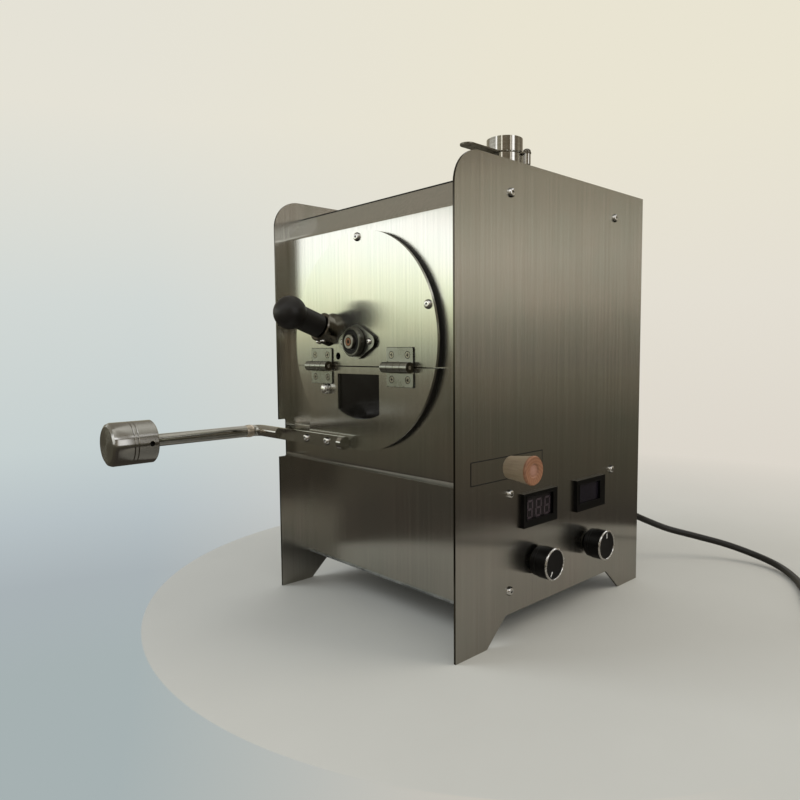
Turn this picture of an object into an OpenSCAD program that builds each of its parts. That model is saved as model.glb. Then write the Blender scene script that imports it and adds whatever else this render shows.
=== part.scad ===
/* [Side plates] */
// Outer width across the two side plates
body_width = 242; // [236:1:300]
// Depth of the side plates
body_depth = 280; // [276:1:320]
// Height of the side plates
plate_height = 390; // [388:1:430]
// Thickness of each side plate
plate_t = 2; // [1.5:0.5:3]
// Radius of the plates' upper front corner
corner_r = 28; // [10:1:40]
// Flat length of each foot
foot_length = 37; // [25:1:50]
// Run of the slope beside each foot
foot_slope = 24; // [15:1:35]
// Height of the plates' lower edge between the feet
foot_height = 21.5; // [12:0.5:26]
// Lower end of the lever notch in the left plate
notch_z = 134; // [130:1:145]
// Height of the lever notch
notch_height = 38; // [36:1:50]
// Depth of the lever notch
notch_depth = 8.4; // [8.2:0.1:12]

/* [Sheet body] */
// Thickness of the bent sheets
sheet_t = 1.5; // [1:0.1:2]
// Distance of the front panel behind the plates' front edges
panel_setback = 14; // [13:0.5:18]
// Distance of the top cover below the plates' top edges
cover_drop = 15.2; // [12:0.2:20]
// Depth and rise of the front panel's slanted top
slant_run = 21.5; // [16:0.5:28]
// Outer radius of the front panel's bends
bend_r = 8; // [5:0.5:10]
// Height of the ledge under the front panel's upright face
ledge_z = 130.8; // [126:0.2:131]
// Distance of the tucked lower face behind the upright face
tuck_depth = 22.7; // [16:0.1:30]
// Height of the bottom plate's upper face
floor_z = 30.3; // [28:0.1:33]
// Distance of the rear panel in front of the plates' rear edges
rear_setback = 8; // [6:0.5:12]
// Distance of the front row of side screws behind the front edges
screw_front_y = 66; // [60:1:75]
// Distance of the rear row of side screws behind the front edges
screw_rear_y = 225.5; // [222:0.5:232]
// Height of the lower pair of side screws
screw_low_z = 41.2; // [39:0.1:44]
// Height of the middle pair of side screws
screw_mid_z = 122.7; // [119:0.1:124]
// Distance of the top row of side screws below the top cover
screw_top_drop = 10.4; // [9:0.1:12]
// Radius of the tie bars
tie_r = 6; // [5:0.5:7]

/* [Front disc] */
// Height of the drum axis and the disc's centre
axis_z = 248.5; // [247:0.5:252]
// Radius of the front disc
disc_r = 96; // [94:0.5:98]
// Thickness of the front disc
disc_t = 2.5; // [2:0.1:3]
// Distance of the disc's face behind the plates' front edges
disc_setback = 7.4; // [6.5:0.1:8]
// Height of the hinge line between the fixed half and the door
hinge_z = 226.8; // [225:0.1:228]
// Gap along the hinge line
seam_gap = 1; // [0.8:0.1:1.2]
// Radial width of the black gasket ring
gasket_width = 11; // [8:0.5:12]
// Radius of the drum opening in the front panel
opening_r = 80; // [79:0.5:83]
// Distance of the outer screws from the disc's rim
rim_screw_inset = 5.3; // [5:0.1:6]
// Radius of the open probe hole
probe_r = 3.3; // [2:0.1:4]
// Sideways place of the probe hole from the drum axis
probe_x = -29.5; // [-33:0.5:-27]
// How far the probe hole lies below the shaft
probe_drop = 12.6; // [11:0.1:13.5]

/* [Hinges] */
// Distance of each hinge's middle from the centre line
hinge_x = 53.8; // [50:0.1:58]
// Width of a hinge leaf
leaf_width = 32; // [28:1:36]
// Distance from the hinge line to a leaf's far edge
leaf_reach = 16.2; // [15:0.1:18]
// Thickness of a hinge leaf
leaf_t = 1.3; // [1:0.1:1.6]
// Radius of the hinge barrel
barrel_r = 4.5; // [4:0.1:5]
// Radius of the hinge pin
pin_r = 1.5; // [1.2:0.1:2]

/* [Door] */
// Width of the sight window
window_width = 57.6; // [50:0.2:62]
// From the seam between the disc's halves down to the window's top
window_top_gap = 6.7; // [6:0.1:9]
// How far the window lies right of the middle
window_x = -2; // [-3:0.5:1]
// Radius of the window's lower edge about the drum axis
window_bottom_r = 68.3; // [62:0.1:70]
// Thickness of the sight glass
glass_t = 2.6; // [2:0.1:3]
// Radius of the lever rod
lever_r = 5.9; // [5:0.1:5.9]
// Height of the lever rod
lever_z = 157.8; // [156:0.1:160]
// Distance of the lever's elbow from the centre line
elbow_x = 160; // [150:1:180]
// Length of the lever's forward arm
arm_length = 128; // [90:1:150]
// Radius of the lever's knob
lever_knob_r = 20; // [14:0.5:24]
// Length of the lever's knob
lever_knob_length = 41; // [30:1:60]

/* [Bearing and drum] */
// Radius of the drum's outer wall
drum_r = 77; // [74:0.5:78]
// Thickness of the drum's wall
drum_wall = 1.2; // [1:0.1:2]
// Distance from the front panel's face to the drum's rear plate
drum_reach = 170; // [160:1:174]
// Radius of the drum shaft
shaft_r = 4; // [3:0.5:5]
// Radius of the front bearing's inner race
race_r = 6.25; // [5.5:0.05:7]
// Distance from the shaft to each bearing bolt
bolt_pitch = 18.2; // [17:0.1:20]
// Thickness of the bearing's flange
flange_t = 3.2; // [2.5:0.1:4]
// Running clearance of shafts, pins and the sampler
run_gap = 0.08; // [0.04:0.01:0.1]
// Radius of the heating tubes
heater_r = 4; // [3:0.5:4]
// Distance of the heating tubes from the drum axis
heater_ring_r = 84.6; // [84:0.1:86]
// Inner radius of the roasting chamber shell
chamber_r = 92; // [91:0.5:92]

/* [Sampler] */
// Sideways place of the sampler
sampler_x = -43.5; // [-45:0.1:-43]
// Height of the sampler's axis at the disc face above the drum axis
sampler_rise = 10.9; // [10.6:0.1:13]
// Tilt of the sampler's axis
sampler_tilt = 20; // [18:0.5:24]
// Radius of the sampler tube
sampler_r = 9; // [7:0.5:9]
// Length of the sampler tube inside the drum
sampler_reach = 84; // [60:1:90]
// Radius of the sampler's collar
guide_r = 13.5; // [12:0.1:13.5]
// Length of the sampler's collar in front of the disc
guide_length = 11; // [10:0.1:16]
// Radius of the sampler grip's shank
grip_r = 10.8; // [9:0.1:12]
// Radius of the sampler grip's round end
ball_r = 14.8; // [13.5:0.1:18]
// Length of the whole grip
grip_length = 48; // [44:1:60]

/* [Drawer] */
// Distance of the drawer front behind the front edges
drawer_y = 17; // [17:0.5:20]
// Width of the drawer front
drawer_width = 93.5; // [88:0.5:96]
// Height of the drawer opening's lower edge
drawer_z = 135.8; // [135.4:0.1:136]
// Height of the drawer opening
drawer_height = 18.2; // [16:0.1:18.4]
// Length of the chaff tray
tray_length = 172; // [120:1:200]
// Radius of the wooden knob's foot
wood_base_r = 9.2; // [7:0.1:10]
// Radius of the wooden knob's outer end
wood_face_r = 12; // [10.5:0.1:14]
// Length of the wooden knob
wood_length = 24.5; // [16:0.5:28]

/* [Controls] */
// Width of a panel meter's bezel
meter_width = 48.5; // [46:0.5:50]
// Height of a panel meter's bezel
meter_height = 29; // [28:0.5:32]
// Height of the meters' middle
meter_z = 105.6; // [104:0.1:106]
// Distance of the first meter's middle behind the front edges
meter_y = 105; // [102:0.5:108]
// Spacing of the two meters, and of the two knobs
control_pitch = 80; // [76:0.5:84]
// Distance of the first knob's middle behind the front edges
knob_y = 102.5; // [100:0.5:106]
// Height of the knobs' middle
knob_z = 59.7; // [58:0.1:62]
// Radius of a control knob
knob_r = 13.6; // [12:0.1:15]
// Length of a control knob
knob_length = 14.4; // [13:0.1:22]

/* [Chimney] */
// Outer radius of the chimney pipe
pipe_r = 19; // [17:0.5:19]
// Wall of the chimney pipe
pipe_wall = 1.2; // [1:0.1:2]
// Distance of the chimney behind the plates' front edges
pipe_y = 211; // [210:0.5:214]
// Height of the chimney above the top cover
pipe_rise = 86.7; // [76:0.1:110]
// Distance from the pipe's top down to the damper blade's middle
damper_drop = 16; // [12:0.5:22]
// Thickness of the damper blade
blade_t = 1.5; // [1:0.1:2]
// Distance of the damper's pivot from the pipe's wall
pivot_gap = 4.7; // [4.5:0.1:7]
// Length of the damper's lever from the pipe's middle
damper_reach = 67; // [50:1:80]

/* [Mains cord] */
// Diameter of the mains cord
cord_d = 7; // [6:0.5:7.5]
// Sideways place of the cord's gland
cord_x = 88; // [80:1:96]
// Height of the cord's gland
cord_z = 60; // [55:1:64]
// Radius of the coil's outer turn
coil_r = 46; // [46:1:50]
// Step between the coil's turns
coil_pitch = 7.8; // [7.7:0.1:8.6]

/* [Hidden] */

steel_colour = "#a9a79c";
bright_colour = "#c4c2ba";
dark_colour = "#2a2927";
$fn = 64;
eps = 0.01;
seat_gap = 0.3;
part_gap = 0.3;

front = -body_depth / 2;
back = body_depth / 2;
outer_x = body_width / 2;
inner_x = outer_x - plate_t;
inner_width = 2 * inner_x;

panel_y = front + panel_setback;
panel_back = panel_y + sheet_t;
tuck_y = panel_y + tuck_depth;
cover_z = plate_height - cover_drop;
cover_y = panel_y + slant_run + sheet_t;
rear_y = back - rear_setback;
slant_z = cover_z - slant_run - 1.3;
screw_top_z = cover_z - screw_top_drop;

// Button-head screws of M4 size
screw_r = 2;
screw_hole_r = 2.2;
screw_head_r = 3.8;
screw_head_h = 2.3;
screw_length = 8;

// Button-head screws of M3 size
small_r = 1.5;
small_head_r = 2.75;
small_head_h = 1.7;

disc_y = front + disc_setback;
disc_back = disc_y + disc_t;
gasket_depth = panel_y - disc_back;
gasket_r = disc_r - 0.5;
rim_screw_r = disc_r - rim_screw_inset;
rim_screw_angles = [18, 90, 162];
seam_low = hinge_z - seam_gap / 2;
seam_high = hinge_z + seam_gap / 2;
barrel_y = disc_y - barrel_r - part_gap;

window_top = hinge_z - window_top_gap;
glass_r = window_bottom_r + 4;
glass_side = window_width / 2 + 3.4;
clamp_r = glass_r + 2;
clamp_t = 1;

lever_y = disc_y - lever_r;
lever_flat_y = lever_y - lever_r * 0.33;
lever_end_x = -14;
flat_end_x = -20;
lever_screw_x = [-71, -38.5];
elbow_r = 8;
tab_left = 76.5;

bearing_ring_r = 13;
bearing_ring_h = 6;
bearing_hub_r = 15;
bearing_tip_r = 6.2;
bearing_hole_r = 2.2;
race_front = disc_y - flange_t - bearing_ring_h - 2.4;

drum_front = disc_back + glass_t + clamp_t + 1;
drum_back = panel_y + drum_reach;
spider_y = panel_y + 86;
spider_t = 2;
bulkhead_y = drum_back + 8;
bulkhead_back = bulkhead_y + sheet_t;
bearing_back = bulkhead_back + 10;
shaft_end = bearing_back + 8;
bracket_y = bearing_back + 18;
bracket_t = 2;
motor_y = bracket_y + bracket_t;
motor_back = rear_y - sheet_t - 2;
heater_angles = [215, 243, 297, 325];

sampler_z = axis_z + sampler_rise;
tang_r = 6;
tang_length = 26;

shelf_z = drawer_z;
tray_z = drawer_z + part_gap;
tray_y = front + drawer_y + 5;
tray_width = drawer_width - 7;
tray_wall = 1;

meter_face = 3.4;
meter_depth = 20;
bezel_lip = 1;
window_depth = 2.2;
control_nut_h = 3.8;
control_body_r = 12;
control_shaft_r = 3;
control_bush_r = 3.5;
heat_knob_x = outer_x + 5.5;
speed_knob_x = outer_x + 7.5;

pipe_top = cover_z + pipe_rise;
blade_z = pipe_top - damper_drop - blade_t / 2;
pivot_r = pipe_r + pivot_gap;
pivot_angle = 25;
pivot_x = pivot_r * cos(pivot_angle);
pivot_y = front + pipe_y + pivot_r * sin(pivot_angle);
boss_r = 4;
boss_h = 10.6;
slit_start = -150;
slit_end = pivot_angle + 20;
flue_z = axis_z + 41.5;
flue_top = cover_z - 6.6;
flue_half = 32;
flue_back = front + pipe_y + pipe_r + 1.5;

gland_end = rear_y + 28;
relief_r = 7.5;

// Places the 2D front view, drawn in x and z, between two depths
module slab_y(from, to) {
    translate([0, to, 0]) rotate([90, 0, 0]) linear_extrude(to - from) children();
}

// Places the 2D side view, drawn in y and z, between two widths
module slab_x(from, to) {
    translate([from, 0, 0]) rotate([90, 0, 90]) linear_extrude(to - from) children();
}

// A round rod along y, along x, or facing forward from a point
module rod_y(r, from, to) {
    translate([0, from, 0]) rotate([-90, 0, 0]) cylinder(r = r, h = to - from);
}

module rod_x(r, from, to) {
    translate([from, 0, 0]) rotate([0, 90, 0]) cylinder(r = r, h = to - from);
}

// Points of an arc about a centre
function arc(c, r, from, to, steps) =
    [for (i = [0:steps]) let (a = from + (to - from) * i / steps) c + r * [cos(a), sin(a)]];

function unit(v) = v / norm(v);
function left_of(v) = [-v[1], v[0]];
function cross2(a, b) = a[0] * b[1] - a[1] * b[0];

// One rounded corner of a path, as points from one straight run to the next
function rounded_corner(a, p, b, r, steps = 6) =
    let (
        u = unit(a - p),
        v = unit(b - p),
        half = acos(max(-1, min(1, u * v))) / 2,
        centre = p + unit(u + v) * r / sin(half),
        start = p + u * r / tan(half) - centre,
        end = p + v * r / tan(half) - centre,
        a0 = atan2(start[1], start[0]),
        turn = atan2(cross2(start, end), start * end)
    )
    [for (i = [0:steps]) centre + r * [cos(a0 + turn * i / steps), sin(a0 + turn * i / steps)]];

// A path shifted to its left by t, corner by corner
function shifted(path, t) = [
    for (i = [0:len(path) - 1])
        let (
            d1 = i == 0 ? unit(path[1] - path[0]) : unit(path[i] - path[i - 1]),
            d2 = i == len(path) - 1 ? d1 : unit(path[i + 1] - path[i]),
            n1 = left_of(d1),
            n2 = left_of(d2)
        )
        path[i] + t * (n1 + n2) / (1 + n1 * n2)
];

// A path whose inner corners are rounded, each by its own radius
function rounded_path(path, radii) = [
    path[0],
    for (i = [1:len(path) - 2]) each rounded_corner(path[i - 1], path[i], path[i + 1], radii[i - 1]),
    path[len(path) - 1]
];

function reversed(list) = [for (i = [len(list) - 1:-1:0]) list[i]];

// The cross-section of a bent sheet that lies to the left of its outer path
module bent_sheet(path, radii, t) {
    turns = [
        for (i = [1:len(path) - 2]) sign(cross2(path[i] - path[i - 1], path[i + 1] - path[i]))
    ];
    inner_radii = [for (i = [0:len(radii) - 1]) radii[i] - turns[i] * t];
    polygon(concat(rounded_path(path, radii), reversed(rounded_path(shifted(path, t), inner_radii))));
}

// A rectangle with round corners, as a polygon
module round_rect(w, h, r) {
    polygon(concat(
        arc([w / 2 - r, h / 2 - r], r, 0, 90, 6), arc([-w / 2 + r, h / 2 - r], r, 90, 180, 6),
        arc([-w / 2 + r, -h / 2 + r], r, 180, 270, 6), arc([w / 2 - r, -h / 2 + r], r, 270, 360, 6)
    ));
}

// Button-head screw along +z, seated at z = 0 with its shank below
module button_screw(shank, r = screw_r, head_r = screw_head_r, head_h = screw_head_h) {
    crown = head_r * 0.45;
    difference() {
        union() {
            rotate_extrude($fn = 32) polygon(concat(
                [[0, 0], [head_r, 0]],
                [for (a = [15:15:75]) [crown + (head_r - crown) * cos(a), 0.3 + (head_h - 0.3) * sin(a)]],
                [[crown, head_h], [0, head_h]]
            ));
            translate([0, 0, -shank]) cylinder(r = r, h = shank + eps, $fn = 24);
        }
        translate([0, 0, head_h * 0.45]) cylinder(r = r * 0.72, h = head_h, $fn = 6);
    }
}

// Countersunk cross-head screw along +z, flush at z = 0
module flat_screw(length) {
    difference() {
        union() {
            translate([0, 0, -1.2]) cylinder(r1 = 1.4, r2 = 2.6, h = 1.2, $fn = 32);
            translate([0, 0, -length]) cylinder(r = 1.4, h = length - 1.2 + eps, $fn = 24);
        }
        for (a = [0, 90]) rotate(a) translate([-1.6, -0.25, -0.6]) cube([3.2, 0.5, 1]);
    }
}

module screw_hole(head_r, shank_r, depth) {
    translate([0, 0, -1.25]) cylinder(r1 = shank_r, r2 = head_r, h = 1.26, $fn = 32);
    translate([0, 0, -depth]) cylinder(r = shank_r, h = depth, $fn = 24);
}

function side_screw_places() = [
    for (y = [screw_front_y, screw_rear_y], z = [screw_low_z, screw_mid_z, screw_top_z]) [front + y, z]
];

/* Side plates */

module plate_outline(notched) {
    notch = notched ? [
        [front, notch_z + notch_height], [front + notch_depth - 1.5, notch_z + notch_height],
        each reversed(arc([front + notch_depth - 1.5, notch_z + notch_height - 1.5], 1.5, 0, 90, 3)),
        each reversed(arc([front + notch_depth - 1.5, notch_z + 1.5], 1.5, -90, 0, 3)),
        [front, notch_z]
    ] : [];
    polygon(concat(
        [
            [front, 0], [front + foot_length, 0], [front + foot_length + foot_slope, foot_height],
            [back - foot_length - foot_slope, foot_height], [back - foot_length, 0], [back, 0],
            [back, plate_height]
        ],
        arc([front + corner_r, plate_height - corner_r], corner_r, 90, 180, 12),
        notch
    ));
}

module plate_holes(x) {
    for (p = side_screw_places())
        translate([0, p[0], p[1]]) rod_x(screw_hole_r, x - 1, x + plate_t + 1);
}

module side_plate_right() {
    color(steel_colour) difference() {
        slab_x(inner_x, outer_x) plate_outline(false);
        plate_holes(inner_x);
        translate([inner_x - 1, front + drawer_y, drawer_z]) cube([plate_t + 2, drawer_width, drawer_height]);
        for (i = [0, 1]) {
            translate([inner_x - 1, front + meter_y + i * control_pitch - meter_width / 2 + bezel_lip,
                meter_z - meter_height / 2 + bezel_lip])
                cube([plate_t + 2, meter_width - 2 * bezel_lip, meter_height - 2 * bezel_lip]);
            translate([0, front + knob_y + i * control_pitch, knob_z])
                rod_x(control_bush_r + 0.1, inner_x - 1, outer_x + 1);
        }
    }
}

module side_plate_left() {
    color(steel_colour) difference() {
        slab_x(-outer_x, -inner_x) plate_outline(true);
        plate_holes(-outer_x);
    }
}

/* Sheet body */

module front_panel() {
    path = [
        [tuck_y, floor_z], [tuck_y, ledge_z], [panel_y, ledge_z], [panel_y, slant_z],
        [panel_y + slant_run, cover_z]
    ];
    color(steel_colour) difference() {
        slab_x(-inner_x, inner_x) bent_sheet(reversed(path), [bend_r - 2, bend_r, sheet_t + 0.6], sheet_t);
        translate([0, 0, axis_z]) rod_y(opening_r, panel_y - 1, panel_back + 1);
        for (a = rim_screw_angles)
            translate([rim_screw_r * cos(a), 0, axis_z + rim_screw_r * sin(a)])
                rod_y(screw_hole_r, panel_y - 1, panel_back + 1);
    }
}

module top_cover() {
    color(steel_colour) difference() {
        translate([-inner_x, cover_y, cover_z - sheet_t]) cube([inner_width, rear_y - cover_y, sheet_t]);
        translate([0, front + pipe_y, cover_z - 3]) cylinder(r = pipe_r + 0.2, h = 6);
    }
}

module rear_panel() {
    color(steel_colour) difference() {
        translate([-inner_x, rear_y - sheet_t, floor_z])
            cube([inner_width, sheet_t, cover_z - sheet_t - floor_z]);
        translate([cord_x, 0, cord_z]) rod_y(relief_r + 0.2, rear_y - 3, rear_y + 1);
        for (side = [-1, 1], i = [0:6])
            translate([side * 62 - 22, rear_y - 3, axis_z - 30 + i * 10]) cube([44, 5, 4]);
    }
}

module bottom_plate() {
    color(steel_colour) difference() {
        translate([-inner_x, tuck_y - sheet_t, floor_z - sheet_t])
            cube([inner_width, rear_y - tuck_y + sheet_t, sheet_t]);
        for (i = [0:8]) translate([-62 + i * 14, rear_y - 82, floor_z - 4]) cube([5, 60, 6]);
    }
}

module tie_bars() {
    block = [22, 14, cover_z - sheet_t - screw_top_z + tie_r];
    color(bright_colour) difference() {
        union() {
            for (p = side_screw_places())
                if (p != [front + screw_rear_y, screw_top_z])
                    translate([0, p[0], p[1]]) rod_x(tie_r, -inner_x, inner_x);
            for (side = [0, 1]) mirror([side, 0, 0])
                translate([inner_x - block[0], front + screw_rear_y - block[1] / 2, screw_top_z - tie_r])
                    cube(block);
        }
        for (p = side_screw_places(), side = [0, 1]) mirror([side, 0, 0])
            translate([0, p[0], p[1]]) rod_x(screw_r + 0.05, inner_x - screw_length, inner_x + 1);
    }
}

module frame_screws() {
    color(bright_colour) {
        for (p = side_screw_places(), side = [0, 1]) mirror([side, 0, 0])
            translate([outer_x, p[0], p[1]]) rotate([0, 90, 0]) button_screw(screw_length);
        for (a = rim_screw_angles)
            translate([rim_screw_r * cos(a), disc_y, axis_z + rim_screw_r * sin(a)])
                rotate([90, 0, 0]) button_screw(screw_length);
    }
}

module rear_bulkhead() {
    color(steel_colour) difference() {
        translate([-inner_x, bulkhead_y, floor_z]) cube([inner_width, sheet_t, cover_z - sheet_t - floor_z]);
        translate([inner_x - meter_depth - 3, bulkhead_y - 1, floor_z - 1])
            cube([meter_depth + 4, sheet_t + 2, meter_z + meter_height / 2 + 3 - floor_z]);
        translate([0, 0, axis_z]) rod_y(shaft_r + 4, bulkhead_y - 1, bulkhead_back + 1);
        heater_places() rod_y(heater_r + 0.1, bulkhead_y - 1, bulkhead_back + 1);
        for (i = [0:3]) translate([-24 + i * 13, bulkhead_y - 1, flue_z + 8]) cube([8, sheet_t + 2, 30]);
        translate([-80, bulkhead_y - 1, floor_z + 20]) cube([40, sheet_t + 2, 14]);
        translate([0, front + pipe_y, flue_top - 9]) cylinder(r = pipe_r + 0.5, h = 30);
    }
}

/* Roasting chamber */

module heater_places() {
    for (a = heater_angles)
        translate([heater_ring_r * cos(a), 0, axis_z + heater_ring_r * sin(a)]) children();
}

module chamber_shell() {
    color(steel_colour) difference() {
        translate([0, 0, axis_z]) rod_y(chamber_r + sheet_t, panel_back, bulkhead_y);
        translate([0, 0, axis_z]) rod_y(chamber_r, panel_back - 1, bulkhead_y + 1);
        translate([-35, panel_back + 14, axis_z - chamber_r - 10]) cube([70, tray_width - 10, 30]);
    }
}

module insulation_blanket() {
    inner = chamber_r + sheet_t + seat_gap;
    color("#d8d4c8") difference() {
        translate([0, 0, axis_z]) rod_y(inner + 9.5, panel_back + 1, bulkhead_y - 1);
        translate([0, 0, axis_z]) rod_y(inner, panel_back, bulkhead_y);
        translate([-inner_x, panel_back, axis_z - 150]) cube([inner_width, bulkhead_y - panel_back, 120]);
    }
}

module heating_tubes() {
    color("#7d6f63") heater_places() {
        rod_y(heater_r, panel_back, bulkhead_back + 8);
        rod_y(heater_r * 0.4, bulkhead_back + 8 - eps, bulkhead_back + 16);
    }
}

/* Front disc */

module disc_half(upper, r_out, r_in) {
    difference() {
        translate([0, axis_z]) circle(r = r_out, $fn = 180);
        if (r_in > 0) translate([0, axis_z]) circle(r = r_in, $fn = 180);
        if (upper) translate([-150, seam_high - 200]) square([300, 200]);
        else translate([-150, seam_low]) square([300, 200]);
    }
}

// The sampler's own frame: origin on the disc face, +z outward along its axis
module sampler_frame() {
    translate([sampler_x, disc_y, sampler_z]) rotate([90 - sampler_tilt, 0, 0]) children();
}

module guide_screw_places() {
    for (a = [262, 288]) rotate([0, 0, a]) translate([guide_r - 0.15, 0, 5.8]) rotate([0, 90, 0]) children();
}

module faceplate() {
    color(bright_colour) difference() {
        slab_y(disc_y, disc_back) disc_half(true, disc_r, 0);
        translate([0, 0, axis_z]) rod_y(race_r + 1.8, disc_y - 1, disc_back + 1);
        for (side = [-1, 1]) translate([side * bolt_pitch, 0, axis_z])
            rod_y(small_r + 0.05, disc_y - 1, disc_back + 1);
        translate([probe_x, 0, axis_z - probe_drop]) rod_y(probe_r, disc_y - 1, disc_back + 1);
        for (a = rim_screw_angles)
            translate([rim_screw_r * cos(a), 0, axis_z + rim_screw_r * sin(a)])
                rod_y(screw_hole_r, disc_y - 1, disc_back + 1);
        sampler_frame() translate([0, 0, -15]) cylinder(r = sampler_r + 0.6, h = 30);
        leaf_screw_places(1) screw_hole(1.45, 1.45, 6);
    }
}

module faceplate_gasket() {
    color(dark_colour) difference() {
        slab_y(disc_back, panel_y) disc_half(true, gasket_r, gasket_r - gasket_width);
        for (a = rim_screw_angles)
            translate([rim_screw_r * cos(a), 0, axis_z + rim_screw_r * sin(a)])
                rod_y(screw_hole_r, disc_back - 1, panel_y + 1);
    }
}

// Two-bolt flange outline: a hub circle joined to two tip circles by their common tangents
module flange_outline() {
    tangent = acos((bearing_hub_r - bearing_tip_r) / bolt_pitch);
    translate([0, axis_z]) polygon(concat(
        arc([bolt_pitch, 0], bearing_tip_r, -tangent, tangent, 10),
        arc([0, 0], bearing_hub_r, tangent, 180 - tangent, 10),
        arc([-bolt_pitch, 0], bearing_tip_r, 180 - tangent, 180 + tangent, 10),
        arc([0, 0], bearing_hub_r, 180 + tangent, 360 - tangent, 10)
    ));
}

module front_bearing() {
    ring_front = disc_y - flange_t - bearing_ring_h;
    color(steel_colour) difference() {
        union() {
            slab_y(disc_y - flange_t, disc_y) flange_outline();
            translate([0, 0, axis_z]) rod_y(bearing_ring_r, ring_front + 1, disc_y - flange_t + eps);
            translate([0, ring_front + 1, axis_z]) rotate([90, 0, 0])
                cylinder(r1 = bearing_ring_r, r2 = bearing_ring_r - 1, h = 1);
        }
        translate([0, 0, axis_z]) rod_y(race_r + run_gap, ring_front - 1, disc_y + 1);
        translate([0, 0, axis_z]) rod_y(bearing_ring_r - 2.2, ring_front - 1, ring_front + 1.2);
        for (side = [-1, 1]) translate([side * bolt_pitch, 0, axis_z])
            rod_y(bearing_hole_r, disc_y - 10, disc_y + 1);
    }
}

module small_screws() {
    nut_h = 1.8;
    color(bright_colour) {
        for (side = [-1, 1]) translate([side * bolt_pitch, 0, axis_z]) {
            translate([0, disc_y - flange_t, 0]) rotate([90, 0, 0])
                button_screw(flange_t + disc_t + nut_h, small_r, small_head_r, small_head_h);
            translate([0, disc_back, 0]) rotate([-90, 0, 0]) cylinder(r = 3.1, h = nut_h, $fn = 6);
        }
        sampler_frame() guide_screw_places()
            button_screw(guide_r - sampler_r - 0.6, small_r, small_head_r, small_head_h);
    }
}

/* Hinges: the fixed leaf has the right-hand knuckle and the moving leaf the left-hand one */

module leaf_screw_places(up) {
    for (side = [-1, 1], x = [-9.7, 9.7])
        translate([side * hinge_x + x, disc_y - leaf_t, hinge_z + up * 10.2]) rotate([90, 0, 0]) children();
}

module hinge_leaf(up) {
    knuckle = (leaf_width - part_gap) / 2;
    knuckle_x = up > 0 ? leaf_width / 2 - knuckle : -leaf_width / 2;
    other_x = up > 0 ? -leaf_width / 2 - 1 : leaf_width / 2 - knuckle - part_gap;
    leaf_y = disc_y - leaf_t;
    clear = barrel_r + 0.5;
    difference() {
        union() {
            translate([0, barrel_y, hinge_z]) rod_x(barrel_r, knuckle_x, knuckle_x + knuckle);
            slab_y(leaf_y, disc_y) difference() {
                translate([0, hinge_z + up * (leaf_reach + seam_gap) / 2])
                    round_rect(leaf_width, leaf_reach - seam_gap, 1.5);
                translate([other_x, hinge_z - clear]) square([knuckle + part_gap + 1, 2 * clear]);
            }
            translate([knuckle_x, leaf_y - 1.2, hinge_z + (up > 0 ? seam_gap : -seam_gap - 2.6)])
                cube([knuckle, 1.2 + leaf_t / 2, 2.6]);
        }
        translate([0, barrel_y, hinge_z]) rod_x(pin_r + (up > 0 ? 0 : run_gap), -leaf_width, leaf_width);
    }
}

module hinge_upper_leaves() {
    color(bright_colour) difference() {
        for (side = [-1, 1]) translate([side * hinge_x, 0, 0]) hinge_leaf(1);
        leaf_screw_places(1) screw_hole(2.65, 1.45, 6);
    }
}

module hinge_lower_leaves() {
    color(bright_colour) difference() {
        for (side = [-1, 1]) translate([side * hinge_x, 0, 0]) hinge_leaf(-1);
        leaf_screw_places(-1) screw_hole(2.65, 1.45, 6);
    }
}

module hinge_pins() {
    color(bright_colour) for (side = [-1, 1])
        translate([side * hinge_x, barrel_y, hinge_z]) rod_x(pin_r, -leaf_width / 2, leaf_width / 2);
}

module hinge_screws() {
    color(bright_colour) leaf_screw_places(1) flat_screw(leaf_t + disc_t);
}

module door_hinge_screws() {
    color(bright_colour) leaf_screw_places(-1) flat_screw(leaf_t + disc_t);
}

/* Discharge door */

module window_shape(half_width, top, r) {
    intersection() {
        translate([window_x - half_width, axis_z - 90]) square([2 * half_width, top - axis_z + 90]);
        translate([0, axis_z]) circle(r = r, $fn = 180);
    }
}

module door_plate() {
    tab_top = axis_z - sqrt(pow(disc_r, 2) - pow(tab_left - 4, 2)) + 1;
    color(bright_colour) {
        difference() {
            slab_y(disc_y, disc_back) union() {
                disc_half(false, disc_r, 0);
                polygon([
                    [-tab_left + 4, tab_top], [-tab_left, tab_top - 18], [-tab_left, lever_z - lever_r],
                    [-10, lever_z - lever_r], [-10, lever_z + 30], [-tab_left + 20, tab_top + 10]
                ]);
            }
            slab_y(disc_y - 1, disc_back + 1) window_shape(window_width / 2, window_top, window_bottom_r);
            for (x = lever_screw_x)
                translate([x, 0, lever_z]) rod_y(screw_r + 0.05, disc_y - 1, disc_back + 1);
            leaf_screw_places(-1) screw_hole(1.45, 1.45, 6);
        }
        translate([-46, 0, hinge_z - 21.2]) rod_y(4.2, disc_y - 5.7, disc_y + eps);
    }
}

module door_gasket() {
    color(dark_colour) slab_y(disc_back, panel_y - part_gap)
        disc_half(false, gasket_r, gasket_r - gasket_width);
}

module sight_glass() {
    color("#101010") slab_y(disc_back, disc_back + glass_t) window_shape(glass_side, window_top + 3, glass_r);
}

module glass_clamp() {
    color(steel_colour) {
        slab_y(disc_back + glass_t, disc_back + glass_t + clamp_t) difference() {
            window_shape(glass_side + 1.8, window_top + 4.8, clamp_r);
            window_shape(window_width / 2, window_top, window_bottom_r);
        }
        slab_y(disc_back, disc_back + glass_t + eps) difference() {
            window_shape(glass_side + 1.8, window_top + 4.8, clamp_r);
            window_shape(glass_side + 0.2, window_top + 3.2, glass_r + 0.2);
        }
    }
}

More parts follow.
